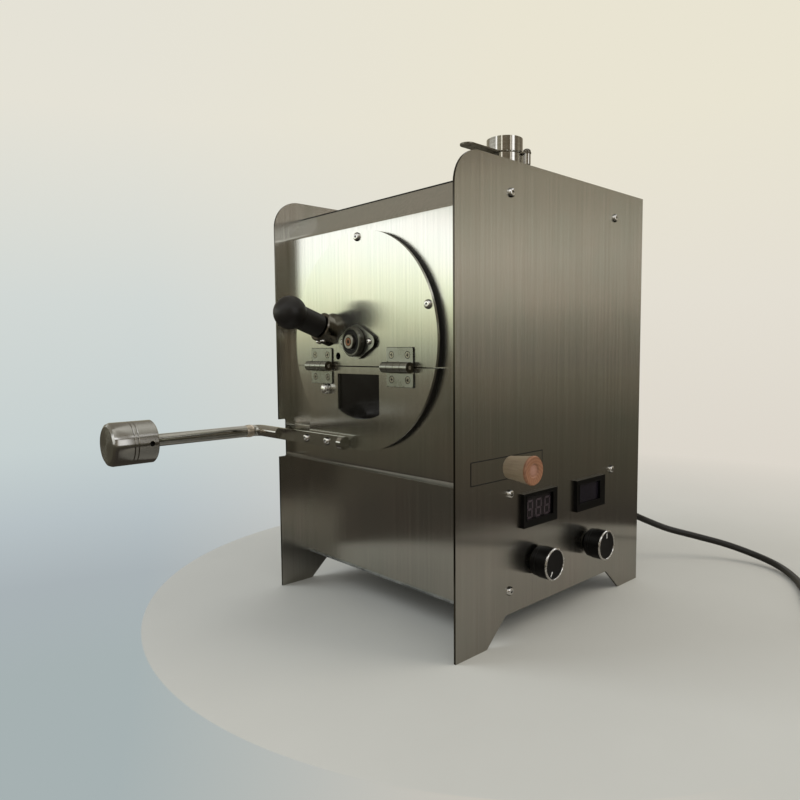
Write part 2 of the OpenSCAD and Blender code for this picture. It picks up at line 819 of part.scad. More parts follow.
module lever_bar() {
    arm_front = lever_y - elbow_r - arm_length;
    color(bright_colour) difference() {
        union() {
            translate([0, lever_y, lever_z]) rod_x(lever_r, -elbow_x + elbow_r, lever_end_x);
            translate([-elbow_x + elbow_r, lever_y - elbow_r, lever_z]) rotate([0, 0, 90])
                rotate_extrude(angle = 90) translate([elbow_r, 0]) circle(r = lever_r);
            translate([-elbow_x, 0, lever_z]) rod_y(lever_r, arm_front, lever_y - elbow_r);
        }
        translate([-inner_x - 1, lever_flat_y - 20, lever_z - 20]) cube([inner_x + 1 + flat_end_x, 20, 40]);
        for (x = lever_screw_x) translate([x, 0, lever_z]) rod_y(screw_r + 0.05, lever_y - 20, lever_y + 20);
    }
}

module lever_screws() {
    color(bright_colour) for (x = lever_screw_x)
        translate([x, lever_flat_y, lever_z]) rotate([90, 0, 0]) button_screw(disc_back - lever_flat_y);
}

module lever_knob() {
    knob_back = lever_y - elbow_r - arm_length + 20;
    color(bright_colour) translate([-elbow_x, knob_back, lever_z]) rotate([90, 0, 0]) difference() {
        rotate_extrude() difference() {
            polygon([
                [0, 0], [lever_knob_r - 1, 0], [lever_knob_r, 1], [lever_knob_r, lever_knob_length - 4],
                [lever_knob_r - 1, lever_knob_length - 1.4], [lever_knob_r - 3.4, lever_knob_length],
                [0, lever_knob_length]
            ]);
            for (h = [22, 18.5]) translate([lever_knob_r, lever_knob_length - h]) rotate(45) square(0.9, center = true);
        }
        translate([0, 0, -1]) cylinder(r = lever_r + 0.05, h = 21);
        translate([0, 0, 7]) rotate([0, 90, 0]) cylinder(r = 2.4, h = lever_knob_r + 1, $fn = 32);
    }
}

/* Sampler */

module sampler_guide() {
    color(steel_colour) difference() {
        sampler_frame() difference() {
            union() {
                translate([0, 0, -10]) cylinder(r = guide_r, h = guide_length + 9);
                translate([0, 0, guide_length - 1]) cylinder(r1 = guide_r, r2 = guide_r - 1, h = 1);
            }
            translate([0, 0, -20]) cylinder(r = sampler_r + run_gap, h = guide_length + 30);
            guide_screw_places() translate([0, 0, -8]) cylinder(r = small_r + 0.05, h = 9);
            guide_screw_places() cylinder(r = small_head_r + 0.15, h = 4);
        }
        translate([-150, disc_y, sampler_z - 60]) cube([300, 60, 120]);
    }
}

module sampler_tube() {
    color(bright_colour) sampler_frame() difference() {
        union() {
            translate([0, 0, -sampler_reach])
                cylinder(r = sampler_r, h = sampler_reach + guide_length + part_gap);
            translate([0, 0, guide_length]) cylinder(r = tang_r, h = tang_length);
        }
        translate([0, 0, -sampler_reach + 2])
            cylinder(r = sampler_r - 1, h = sampler_reach + guide_length - 4);
        translate([-20, 0, -sampler_reach + 4]) cube([40, 20, sampler_reach - 28]);
    }
}

module sampler_grip() {
    fillet = 4;
    centre = grip_length - ball_r;
    blend_z = centre - sqrt(pow(ball_r + fillet, 2) - pow(grip_r + fillet, 2));
    blend_angle = atan2(centre - blend_z, grip_r + fillet);
    color(dark_colour) sampler_frame() translate([0, 0, guide_length + part_gap]) difference() {
        rotate_extrude() polygon(concat(
            [[0, 0], [grip_r - 1, 0], [grip_r, 1]],
            [for (i = [0:5]) let (a = 180 - blend_angle * i / 5)
                [grip_r + fillet + fillet * cos(a), blend_z + fillet * sin(a)]],
            [for (i = [1:16]) let (a = -blend_angle + (90 + blend_angle) * i / 16)
                [ball_r * cos(a), centre + ball_r * sin(a)]]
        ));
        translate([0, 0, -1]) cylinder(r = tang_r, h = tang_length + 1 - part_gap);
    }
}

/* Drum and drive */

module drum_shell() {
    vane_r = drum_r - drum_wall;
    color(steel_colour) difference() {
        union() {
            difference() {
                translate([0, 0, axis_z]) rod_y(drum_r, drum_front, drum_back);
                translate([0, 0, axis_z]) rod_y(vane_r, drum_front - 1, drum_back + 1);
            }
            for (a = [45:90:315]) translate([0, 0, axis_z]) rotate([0, a, 0])
                translate([vane_r - 10, drum_front + 6, -0.6]) cube([10.3, drum_back - drum_front - 8, 1.2]);
        }
        translate([0, 0, axis_z]) rod_y(vane_r - eps, spider_y - 0.2, spider_y + spider_t + 0.2);
        translate([0, 0, axis_z]) rod_y(vane_r, drum_back - spider_t, drum_back + 1);
    }
}

module drum_spiders() {
    vane_r = drum_r - drum_wall;
    color(bright_colour) translate([0, 0, axis_z]) difference() {
        union() {
            slab_y(spider_y, spider_y + spider_t) {
                difference() {
                    circle(r = vane_r - eps);
                    circle(r = vane_r - 8);
                }
                for (a = [90, 210, 330]) rotate(a) translate([0, -6]) square([vane_r - 4, 12]);
            }
            rod_y(10, spider_y, spider_y + 8);
            rod_y(vane_r, drum_back - spider_t, drum_back);
            rod_y(10, drum_back - 8, drum_back);
        }
        rod_y(shaft_r, spider_y - 1, drum_back + 1);
        for (ring = [22:12:58], i = [0:11]) rotate([0, i * 30 + ring, 0])
            translate([ring, 0, 0]) rod_y(2.2, drum_back - spider_t - 1, drum_back + 1);
    }
}

module drum_shaft() {
    color("#b98a6a") translate([0, 0, axis_z]) difference() {
        union() {
            rod_y(shaft_r, race_front + 0.6, shaft_end);
            rod_y(race_r, race_front + 0.5, disc_back + 0.5);
            translate([0, race_front + 0.5, 0]) rotate([90, 0, 0])
                cylinder(r1 = race_r, r2 = race_r - 0.5, h = 0.5);
        }
        rod_y(1.6, race_front - 1, race_front + 4);
    }
}

module shaft_coupler() {
    color(steel_colour) translate([0, 0, axis_z]) difference() {
        union() {
            rod_y(9, bearing_back + 1, bracket_y + bracket_t - 1);
            rod_y(shaft_r, bracket_y, motor_y + 9);
        }
        rod_y(shaft_r, bearing_back, shaft_end);
    }
}

module rear_bearing() {
    color(steel_colour) translate([0, 0, axis_z]) difference() {
        union() {
            rod_y(18, bulkhead_back, bulkhead_back + 3);
            rod_y(12, bulkhead_back, bearing_back);
        }
        rod_y(shaft_r + run_gap, bulkhead_back - 1, bearing_back + 1);
    }
}

module motor_bracket() {
    color(steel_colour) difference() {
        union() {
            slab_y(bracket_y, bracket_y + bracket_t) translate([0, axis_z]) round_rect(76, 76, 5);
            for (x = [-30, 30], z = [-30, 30])
                translate([x, 0, axis_z + z]) rod_y(4, bulkhead_back, bracket_y + eps);
        }
        translate([0, 0, axis_z]) rod_y(11, bracket_y - 1, motor_y + 1);
    }
}

module gear_motor() {
    color("#8d8f8e") translate([0, 0, axis_z]) difference() {
        union() {
            rod_y(31, motor_y, motor_y + 20);
            rod_y(25, motor_y + 20 - eps, motor_back);
        }
        rod_y(shaft_r + run_gap, motor_y - 1, motor_y + 10);
    }
}

/* Drawer */

module drawer_shelf() {
    lip = 1.2;
    shelf_y = tray_y - lip - 0.4;
    color(steel_colour) {
        translate([-inner_x, shelf_y, shelf_z - sheet_t])
            cube([inner_width, tray_width + 2 * lip + 0.8, sheet_t]);
        for (y = [shelf_y, tray_y + tray_width + 0.4])
            translate([-inner_x, y, shelf_z - eps]) cube([inner_width, lip, 12]);
    }
}

module chaff_tray() {
    height = drawer_height - 2 * part_gap - 1;
    color(bright_colour) difference() {
        translate([inner_x - tray_length, tray_y, tray_z]) cube([tray_length, tray_width, height]);
        translate([inner_x - tray_length + tray_wall, tray_y + tray_wall, tray_z + tray_wall])
            cube([tray_length - 2 * tray_wall, tray_width - 2 * tray_wall, height]);
        translate([0, front + drawer_y + drawer_width / 2 + 2, drawer_z + drawer_height / 2])
            rod_x(1.8, inner_x - 2, inner_x + 1);
    }
}

module drawer_front() {
    color(steel_colour) difference() {
        translate([inner_x, front + drawer_y + 1.2, drawer_z + part_gap])
            cube([plate_t, drawer_width - 1.2 - part_gap, drawer_height - 2 * part_gap]);
        translate([0, front + drawer_y + drawer_width / 2 + 2, drawer_z + drawer_height / 2])
            rod_x(1.8, inner_x - 1, outer_x + 1);
    }
}

module drawer_knob() {
    color("#c9986e")
    translate([outer_x, front + drawer_y + drawer_width / 2 + 2, drawer_z + drawer_height / 2])
        rotate([0, 90, 0]) rotate_extrude() polygon([
            [0, -plate_t - tray_wall], [1.7, -plate_t - tray_wall], [1.7, 0], [wood_base_r, 0],
            [wood_base_r + 0.3, 1], [wood_base_r + 0.4, 4], [wood_face_r - 0.4, wood_length - 3],
            [wood_face_r, wood_length - 1.2], [wood_face_r - 0.8, wood_length],
            [wood_face_r * 0.52, wood_length - 0.4], [wood_face_r * 0.42, wood_length - 1.4],
            [0, wood_length - 1.2]
        ]);
}

/* Controls */

module meter(y, window) {
    color(dark_colour) translate([outer_x, y, meter_z]) difference() {
        union() {
            translate([0, -meter_width / 2, -meter_height / 2]) cube([meter_face, meter_width, meter_height]);
            translate([-meter_depth, -meter_width / 2 + bezel_lip + 0.2, -meter_height / 2 + bezel_lip + 0.2])
                cube([meter_depth + eps, meter_width - 2 * bezel_lip - 0.4,
                    meter_height - 2 * bezel_lip - 0.4]);
            for (side = [0, 1]) mirror([0, side, 0])
                translate([-plate_t - 7, meter_width / 2 - bezel_lip - 0.4, -3]) cube([7, 1.6, 6]);
        }
        translate([meter_face - window_depth, window[0], window[1]]) cube([window_depth + 1, window[2], window[3]]);
    }
}

module temperature_meter() {
    meter(front + meter_y, [-20, -8, 37.5, 19.3]);
}

module voltage_meter() {
    meter(front + meter_y + control_pitch, [-20, -7.5, 35, 17.5]);
}

module control(y) {
    color("#4c5a4a") translate([0, y, knob_z]) difference() {
        union() {
            rod_x(control_body_r, inner_x - 13, inner_x - 2);
            rod_x(control_bush_r + 1.5, inner_x - 2 - eps, inner_x);
            rod_x(control_bush_r, inner_x - eps, outer_x + control_nut_h);
        }
        rod_x(control_shaft_r + run_gap, inner_x - 10, outer_x + 10);
    }
}

module heat_control() {
    control(front + knob_y);
}

module speed_control() {
    control(front + knob_y + control_pitch);
}

module control_nuts() {
    color(bright_colour) for (i = [0, 1]) translate([outer_x, front + knob_y + i * control_pitch, knob_z])
        rotate([0, 90, 0]) difference() {
            union() {
                cylinder(r = 8.6, h = 1);
                translate([0, 0, 1 - eps]) cylinder(r = 6.6, h = control_nut_h - 1.4, $fn = 6);
            }
            translate([0, 0, -1]) cylinder(r = control_bush_r, h = control_nut_h + 2);
        }
}

module shaft(x, y) {
    color(bright_colour) translate([0, y, knob_z]) rod_x(control_shaft_r, inner_x - 9, x + knob_length - 5);
}

module heat_shaft() {
    shaft(heat_knob_x, front + knob_y);
}

module speed_shaft() {
    shaft(speed_knob_x, front + knob_y + control_pitch);
}

// Knob with a skirt step, a raised metal ring at its face and a cut pointer line
module knob(x, y, pointer) {
    color(dark_colour) translate([x, y, knob_z]) rotate([0, 90, 0]) difference() {
        union() {
            cylinder(r = knob_r - 0.5, h = 3);
            translate([0, 0, 3 - eps]) cylinder(r = knob_r, h = knob_length - 4);
            translate([0, 0, knob_length - 1 - eps]) cylinder(r = knob_r + 0.3, h = 0.6);
            translate([0, 0, knob_length - 0.4 - eps])
                cylinder(r1 = knob_r + 0.3, r2 = knob_r - 0.2, h = 0.4);
        }
        translate([0, 0, knob_length - 0.4]) cylinder(r = knob_r - 0.9, h = 1);
        translate([0, 0, -1]) cylinder(r = 8, h = 4);
        cylinder(r = control_shaft_r, h = knob_length - 5);
        rotate(pointer) translate([knob_r - 6.6, -0.4, knob_length - 0.8]) cube([5, 0.8, 1]);
    }
}

module heat_knob() {
    knob(heat_knob_x, front + knob_y, -33);
}

module speed_knob() {
    knob(speed_knob_x, front + knob_y + control_pitch, 180);
}

module power_controller() {
    base = [-52, front + 112, floor_z];
    color("#3f5b46") {
        for (x = [4, 86], y = [4, 56]) translate(base + [x, y, 0]) cylinder(r = 3, h = 6 + eps);
        translate(base + [0, 0, 6]) cube([90, 60, 1.6]);
        translate(base + [8, 8, 7.5]) cube([40, 44, 5]);
        for (i = [0:6]) translate(base + [8 + i * 6.2, 8, 12]) cube([2, 44, 14]);
        translate(base + [58, 12, 7.5]) cube([24, 30, 12]);
    }
}

/* Chimney */

module pipe_outline(r_out, r_in) {
    difference() {
        circle(r = r_out, $fn = 96);
        circle(r = r_in, $fn = 96);
    }
}

module chimney_pipe() {
    slit_h = blade_t + 2 * part_gap;
    color(bright_colour) difference() {
        union() {
            translate([0, front + pipe_y, flue_top - 8]) linear_extrude(pipe_top - flue_top + 8)
                pipe_outline(pipe_r, pipe_r - pipe_wall);
            translate([0, front + pipe_y, cover_z]) linear_extrude(3) pipe_outline(pipe_r + 12, pipe_r - 0.2);
            translate([pivot_x, pivot_y, blade_z - part_gap - boss_h]) cylinder(r = boss_r, h = boss_h);
            difference() {
                translate([0, front + pipe_y, blade_z - part_gap - boss_h + 1]) rotate(pivot_angle)
                    translate([0, -2, 0]) cube([pivot_r - 2.5, 4, boss_h - 2.5]);
                translate([0, front + pipe_y, 0]) cylinder(r = pipe_r - 0.3, h = pipe_top);
            }
        }
        translate([0, front + pipe_y, blade_z - part_gap]) linear_extrude(slit_h) polygon(concat(
            [[0, 0]], arc([0, 0], pipe_r + 12, slit_start, slit_end, 12)
        ));
        translate([pivot_x, pivot_y, blade_z - boss_h + 1]) cylinder(r = 2, h = boss_h + 20, $fn = 32);
    }
}

module damper_bolt() {
    head_z = blade_z + blade_t + part_gap;
    color(bright_colour) translate([pivot_x, pivot_y, 0]) {
        translate([0, 0, blade_z - boss_h + 1]) cylinder(r = 2, h = boss_h + blade_t + part_gap, $fn = 32);
        translate([0, 0, head_z]) rotate_extrude($fn = 48)
            polygon(concat([[0, 0], [boss_r, 0]], [for (a = [0:15:90]) [boss_r * cos(a), 1 + 2.7 * sin(a)]]));
    }
}

module damper_blade() {
    ear_r = boss_r + 0.5;
    blade_r = pipe_r - pipe_wall - 0.5;
    tip_r = 7.6;
    color(steel_colour) translate([0, 0, blade_z]) difference() {
        union() {
            translate([0, front + pipe_y, 0]) cylinder(r = blade_r, h = blade_t);
            translate([pivot_x, pivot_y, 0]) cylinder(r = ear_r, h = blade_t);
            translate([0, front + pipe_y, 0]) rotate(pivot_angle) translate([0, -ear_r, 0])
                cube([pivot_r, 2 * ear_r, blade_t]);
            translate([-tip_r, front + pipe_y - damper_reach + tip_r, 0])
                cube([2 * tip_r, damper_reach - tip_r, blade_t]);
            translate([0, front + pipe_y - damper_reach + tip_r, 0]) cylinder(r = tip_r, h = blade_t);
        }
        translate([pivot_x, pivot_y, -1]) cylinder(r = 2 + run_gap, h = blade_t + 2, $fn = 32);
    }
}

module flue_box() {
    t = 1.2;
    depth = flue_back - bulkhead_back;
    color(steel_colour) difference() {
        translate([-flue_half, bulkhead_back, flue_z]) cube([2 * flue_half, depth, flue_top - flue_z]);
        translate([-flue_half + t, bulkhead_back - 1, flue_z + t])
            cube([2 * flue_half - 2 * t, depth + 1 - t, flue_top - flue_z - 2 * t]);
        translate([0, front + pipe_y, flue_top - 3]) cylinder(r = pipe_r + 0.1, h = 6);
    }
}

/* Mains cord */

module cord_gland() {
    color(dark_colour) translate([cord_x, 0, cord_z]) difference() {
        union() {
            rod_y(relief_r, rear_y - 8, rear_y + 3);
            rod_y(11, rear_y, rear_y + 3);
            rod_y(11, rear_y - sheet_t - 4, rear_y - sheet_t);
            translate([0, rear_y + 3 - eps, 0]) rotate([-90, 0, 0])
                cylinder(r1 = relief_r, r2 = cord_d / 2 + 0.9, h = gland_end - rear_y - 3);
        }
        rod_y(cord_d / 2, rear_y - 9, gland_end + 1);
    }
}

// The cord's chosen route from the gland to the coil, behind and beside the body
route = [
    [90, 184, 55.5], [98, 206, 45], [113, 228, 34], [135, 252, 25], [161, 271, 17], [188, 278, 10],
    [213, 271, 6], [234, 252, 4.2], [250, 228, 3.6], [263, 200, 3.5], [275, 172, 3.5], [286, 148, 3.5]
];
coil_centre = [342, 144];
coil_start = 210;
layer_turns = 2;
layer_rise = coil_pitch;
loop_rings = 24;

function catmull(p0, p1, p2, p3, t) = 0.5 * (
    2 * p1 + (p2 - p0) * t + (2 * p0 - 5 * p1 + 4 * p2 - p3) * t * t + (3 * p1 - p0 - 3 * p2 + p3) * t * t * t
);

// A smooth line through a list of points, each span cut into equal steps
function smooth_line(points, steps) =
    let (
        last = len(points) - 1,
        all = [2 * points[0] - points[1], each points, 2 * points[last] - points[last - 1]]
    )
    [
        for (i = [1:last], s = [0:steps - 1]) catmull(all[i - 1], all[i], all[i + 1], all[i + 2], s / steps),
        points[last]
    ];

// Radius and height of the coil after a number of turns: in along one layer, up, and out along the next
reverse = layer_turns + 0.25;
function coil_radius(turn) = coil_r - coil_pitch * (reverse - abs(turn - reverse));

function coil_height(turn) = cord_d / 2 + layer_rise * max(0, min(1, (turn - layer_turns) / 0.5));

function coil_point(turn) =
    let (a = coil_start + 360 * turn)
    [
        coil_centre[0] + coil_radius(turn) * cos(a),
        coil_centre[1] + coil_radius(turn) * sin(a),
        coil_height(turn)
    ];

coil_turns = 2 * layer_turns + 0.5;
coil_loop = [for (i = [0:loop_rings * coil_turns]) coil_point(i / loop_rings)];
coil_last = coil_loop[len(coil_loop) - 1];
coil_in = unit(coil_loop[1] - coil_loop[0]);
coil_out = unit(coil_last - coil_loop[len(coil_loop) - 2]);
coil_path = [coil_loop[0] - coil_in * cord_d, each coil_loop, coil_last + coil_out * cord_d];
lead_path = [
    [cord_x, gland_end, cord_z],
    each smooth_line([[cord_x, gland_end + cord_d, cord_z], each route, coil_path[0] - coil_in * cord_d], 2),
    coil_path[0]
];

function path_length(path, i = 1) =
    i < len(path) ? norm(path[i] - path[i - 1]) + path_length(path, i + 1) : 0;

// Rings of a round tube along a path, each square to the path there
function tube_rings(path, d, sides) = [
    for (i = [0:len(path) - 1])
        let (
            last = len(path) - 1,
            ahead = unit(path[min(i + 1, last)] - path[max(i - 1, 0)]),
            across = unit(cross(ahead, [0, 0, 1])),
            up = cross(across, ahead)
        )
        for (s = [0:sides - 1]) path[i] + d / 2 * (cos(360 * s / sides) * across + sin(360 * s / sides) * up)
];

module tube(path, d, sides) {
    rings = len(path);
    faces = [
        [for (s = [0:sides - 1]) s],
        [for (s = [sides - 1:-1:0]) (rings - 1) * sides + s],
        for (i = [0:rings - 2], s = [0:sides - 1])
            [i * sides + s, (i + 1) * sides + s, (i + 1) * sides + (s + 1) % sides],
        for (i = [0:rings - 2], s = [0:sides - 1])
            [i * sides + s, (i + 1) * sides + (s + 1) % sides, i * sides + (s + 1) % sides]
    ];
    polyhedron(points = tube_rings(path, d, sides), faces = faces, convexity = 10);
}

// The least gap between turns of the coil that lie at least half a turn apart
coil_gap = min([
    for (i = [0:len(coil_loop) - 1], j = [0:len(coil_loop) - 1])
        if (j - i > loop_rings / 2) norm(coil_loop[i] - coil_loop[j]) - cord_d
]);
echo(coil_gap = coil_gap, lead_length = path_length(lead_path), coil_length = path_length(coil_path));

module cord_lead() {
    color(dark_colour) tube(lead_path, cord_d, 8);
}

module cord_coil() {
    color(dark_colour) tube(coil_path, cord_d, 6);
}

module cord_plug() {
    end = coil_path[len(coil_path) - 1];
    bearing = atan2(coil_out[1], coil_out[0]);
    half_h = end[2];
    color(dark_colour) translate([end[0], end[1], 0]) rotate([0, 0, bearing]) {
        translate([0, 0, half_h]) rotate([0, 90, 0]) cylinder(r1 = cord_d / 2 + 0.8, r2 = 7, h = 14);
        translate([14 - eps, -12, 0]) cube([24, 24, 2 * half_h]);
        for (y = [-6.4, 6.4]) translate([38 - eps, y - 0.75, half_h - 1.2]) cube([16, 1.5, 6.4]);
        translate([38 - eps, 0, half_h - 6]) rotate([0, 90, 0]) cylinder(r = 2.4, h = 17);
    }
}

side_plate_right();
side_plate_left();
front_panel();
top_cover();
rear_panel();
bottom_plate();
tie_bars();
frame_screws();
rear_bulkhead();
chamber_shell();
insulation_blanket();
heating_tubes();
faceplate();
faceplate_gasket();
front_bearing();
small_screws();
hinge_upper_leaves();
hinge_pins();
hinge_screws();
sampler_guide();
drawer_shelf();
chimney_pipe();
damper_bolt();
flue_box();
temperature_meter();
voltage_meter();
heat_control();
speed_control();
control_nuts();
gear_motor();
motor_bracket();
rear_bearing();
power_controller();
cord_gland();
drum_shell();
drum_spiders();
drum_shaft();
shaft_coupler();
door_plate();
door_gasket();
sight_glass();
glass_clamp();
hinge_lower_leaves();
door_hinge_screws();
lever_bar();
lever_screws();
lever_knob();
sampler_tube();
sampler_grip();
drawer_front();
chaff_tray();
drawer_knob();
heat_knob();
heat_shaft();
speed_knob();
speed_shaft();
damper_blade();
cord_lead();
cord_coil();
cord_plug();
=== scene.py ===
import math

import bmesh
import bpy
from mathutils import Matrix, Vector


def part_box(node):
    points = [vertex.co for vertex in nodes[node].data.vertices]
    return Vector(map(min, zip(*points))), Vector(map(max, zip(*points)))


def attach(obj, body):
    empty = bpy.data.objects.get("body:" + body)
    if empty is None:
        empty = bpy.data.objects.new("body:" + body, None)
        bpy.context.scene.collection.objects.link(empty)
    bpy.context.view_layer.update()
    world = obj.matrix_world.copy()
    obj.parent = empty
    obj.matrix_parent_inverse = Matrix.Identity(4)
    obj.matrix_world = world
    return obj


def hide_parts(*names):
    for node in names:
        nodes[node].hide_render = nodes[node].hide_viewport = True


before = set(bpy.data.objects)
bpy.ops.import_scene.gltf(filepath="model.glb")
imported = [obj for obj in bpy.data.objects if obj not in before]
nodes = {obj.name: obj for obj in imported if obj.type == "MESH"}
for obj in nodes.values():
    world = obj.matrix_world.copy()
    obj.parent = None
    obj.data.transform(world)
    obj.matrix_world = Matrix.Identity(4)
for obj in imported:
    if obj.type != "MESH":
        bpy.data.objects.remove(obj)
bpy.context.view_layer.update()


def boxMiddle(name):
    low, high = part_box(name)
    return (low + high) / 2


def addObject(name, data):
    made = bpy.data.objects.new(name, data)
    bpy.context.scene.collection.objects.link(made)
    return made


def meshData(name, mesh):
    data = bpy.data.meshes.new(name)
    mesh.to_mesh(data)
    mesh.free()
    return data


cameraView = {
    "place": (0.45403, -0.50453, 0.24176),
    "heading": 47.169,
    "down": 4.378,
    "roll": -0.4995,
    "lens": 29.915,
    "sensor": 36.0,
    "nearest": 0.01,
}


def makeCamera(view):
    heading, down, roll = (math.radians(view[k]) for k in ("heading", "down", "roll"))
    ahead = Vector(
        (-math.sin(heading) * math.cos(down), math.cos(heading) * math.cos(down), -math.sin(down))
    )
    level = Vector((math.cos(heading), math.sin(heading), 0))
    upright = level.cross(ahead)
    right = math.cos(roll) * level + math.sin(roll) * upright
    up = -math.sin(roll) * level + math.cos(roll) * upright
    data = bpy.data.cameras.new("camera")
    data.lens, data.sensor_width, data.clip_start = view["lens"], view["sensor"], view["nearest"]
    camera = addObject("camera", data)
    turn = Matrix((right, up, -ahead)).transposed().to_4x4()
    camera.matrix_world = Matrix.Translation(view["place"]) @ turn
    bpy.context.scene.camera = camera


makeCamera(cameraView)
print("camera placed")


# the route's points are part.scad's, in metres; the coil winds inwards, climbs and winds out again
cord = {
    "diameter": 0.007,
    "exit": (0.088, 0.160, 0.060),
    "route": [
        (0.090, 0.184, 0.0555), (0.098, 0.206, 0.045), (0.113, 0.228, 0.034), (0.135, 0.252, 0.025),
        (0.161, 0.271, 0.017), (0.188, 0.278, 0.010), (0.213, 0.271, 0.006), (0.234, 0.252, 0.0042),
        (0.250, 0.228, 0.0036), (0.263, 0.200, 0.0035), (0.275, 0.172, 0.0035), (0.286, 0.148, 0.0035),
    ],
    "stepsPerPoint": 6,
    "coilCentre": (0.342, 0.144),
    "coilStart": 210,
    "coilRadius": 0.046,
    "turnPitch": 0.0078,
    "layerTurns": 2,
    "climbTurns": 0.5,
    "ringsPerTurn": 36,
    "tie": {
        "angle": 120, "radius": 0.03625, "across": 0.0159, "width": 0.010, "height": 0.0154,
        "corner": 0.0036, "cornerSteps": 6, "thickness": 0.0005,
    },
}


# Catmull-Rom line through the points
def smoothLine(points, steps):
    ends = [2 * points[0] - points[1], *points, 2 * points[-1] - points[-2]]
    line = []
    for a, b, c, d in zip(ends, ends[1:], ends[2:], ends[3:]):
        for step in range(steps):
            t = step / steps
            line.append(
                0.5 * (2 * b + (c - a) * t + (2 * a - 5 * b + 4 * c - d) * t * t
                       + (3 * b - a - 3 * c + d) * t ** 3)
            )
    return [*line, points[-1]]


def cordPath(c):
    def coilPoint(turn):
        inward = c["layerTurns"] + c["climbTurns"] / 2
        radius = c["coilRadius"] - c["turnPitch"] * (inward - abs(turn - inward))
        climb = max(0, min(1, (turn - c["layerTurns"]) / c["climbTurns"]))
        angle = math.radians(c["coilStart"] + 360 * turn)
        return Vector((
            c["coilCentre"][0] + radius * math.cos(angle),
            c["coilCentre"][1] + radius * math.sin(angle),
            c["diameter"] / 2 + c["turnPitch"] * climb,
        ))

    turns = 2 * c["layerTurns"] + c["climbTurns"]
    nudge = 1 / 24  # of a turn, as in part.scad, for the direction at the coil's two ends
    coil = [coilPoint(i / c["ringsPerTurn"]) for i in range(int(turns * c["ringsPerTurn"]) + 1)]
    into = (coilPoint(nudge) - coil[0]).normalized()
    out = (coil[-1] - coilPoint(turns - nudge)).normalized()
    coil = [coil[0] - into * c["diameter"], *coil, coil[-1] + out * c["diameter"]]
    start = Vector(c["exit"])
    knots = [
        start + Vector((0, c["diameter"], 0)), *map(Vector, c["route"]), coil[0] - into * c["diameter"]
    ]
    return [start, *smoothLine(knots, c["stepsPerPoint"]), *coil]


# hook-and-loop strap round the bundle of turns, on the side away from the climbing turn
def makeTie(c):
    t = c["tie"]
    mesh = bmesh.new()
    made = bmesh.ops.create_cube(mesh, size=1)["verts"]
    bmesh.ops.scale(mesh, vec=(t["across"], t["width"], t["height"]), verts=made)
    lengthwise = [e for e in mesh.edges if abs(e.verts[0].co.y - e.verts[1].co.y) > t["width"] / 2]
    bmesh.ops.bevel(
        mesh, geom=lengthwise, offset=t["corner"], segments=t["cornerSteps"], profile=0.5,
        affect="EDGES", material=-1,
    )
    ends = [f for f in mesh.faces if abs(f.normal.y) > 0.9]
    bmesh.ops.delete(mesh, geom=ends, context="FACES_ONLY")
    bmesh.ops.recalc_face_normals(mesh, faces=mesh.faces)
    bmesh.ops.solidify(mesh, geom=mesh.faces, thickness=t["thickness"])
    turn = Matrix.Rotation(math.radians(t["angle"]), 4, "Z")
    middle = Vector((*c["coilCentre"], t["height"] / 2)) + turn @ Vector((t["radius"], 0, 0))
    bmesh.ops.transform(mesh, matrix=Matrix.Translation(middle) @ turn, verts=mesh.verts)
    bmesh.ops.recalc_face_normals(mesh, faces=mesh.faces)
    piece = addObject("cordTie", meshData("cordTie", mesh))
    piece.visible_glossy = False
    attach(piece, "frame")
    return piece


# each point carries the cord's radius, so the bevel's own depth is 1
def makeCord(c):
    points = cordPath(c)
    curve = bpy.data.curves.new("mainsCord", "CURVE")
    curve.dimensions, curve.bevel_depth, curve.bevel_resolution = "3D", 1.0, 6
    curve.use_fill_caps = True
    spline = curve.splines.new("POLY")
    spline.points.add(len(points) - 1)
    for point, place in zip(spline.points, points):
        point.co, point.radius = (*place, 1), c["diameter"] / 2
    spline.use_smooth = True
    piece = addObject("mainsCord", curve)
    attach(piece, "frame")
    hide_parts("cord_lead", "cord_coil")
    piece.visible_glossy = False  # the real one lies where the side plate does not mirror it
    return piece


cordTie = makeTie(cord)
mainsCord = makeCord(cord)


# sRGB hex to linear RGBA
def hexColour(text):
    parts = [int(text[i:i + 2], 16) / 255 for i in (1, 3, 5)]
    return (*[p / 12.92 if p <= 0.04045 else ((p + 0.055) / 1.055) ** 2.4 for p in parts], 1)


def fillRamp(ramp, stops):
    while len(ramp.elements) > 2:
        ramp.elements.remove(ramp.elements[-1])
    for i, (place, colour) in enumerate(stops):
        element = ramp.elements[i] if i < 2 else ramp.elements.new(place)
        element.position, element.color = place, hexColour(colour)


# a node with its settings and links: "stops" fills a colour ramp, and a link starts at a socket or at
# a node's first output
def addNode(tree, kind, settings=None, links=None):
    node = tree.nodes.new("ShaderNode" + kind)
    for name, value in (settings or {}).items():
        if name == "stops":
            fillRamp(node.color_ramp, value)
        elif isinstance(name, int) or name in node.inputs:
            node.inputs[name].default_value = value
        else:
            setattr(node, name, value)
    for name, source in (links or {}).items():
        tree.links.new(source.outputs[0] if hasattr(source, "outputs") else source, node.inputs[name])
    return node


def newMaterial(name):
    material = bpy.data.materials.new(name)
    material.use_nodes = True
    material.node_tree.nodes.clear()
    return material, material.node_tree


def finishMaterial(tree, shader):
    addNode(tree, "OutputMaterial", links={"Surface": shader})


# cloudy pattern on the object's own coordinates; a cell has the given size in millimetres
def grain(tree, size, detail=2.0, roughness=0.5):
    place = addNode(tree, "TexCoord").outputs["Object"]
    space = addNode(tree, "Mapping", {"Scale": [1000 / length for length in size]}, {"Vector": place})
    return addNode(
        tree, "TexNoise", {"Scale": 1.0, "Detail": detail, "Roughness": roughness}, {"Vector": space}
    ).outputs["Fac"]


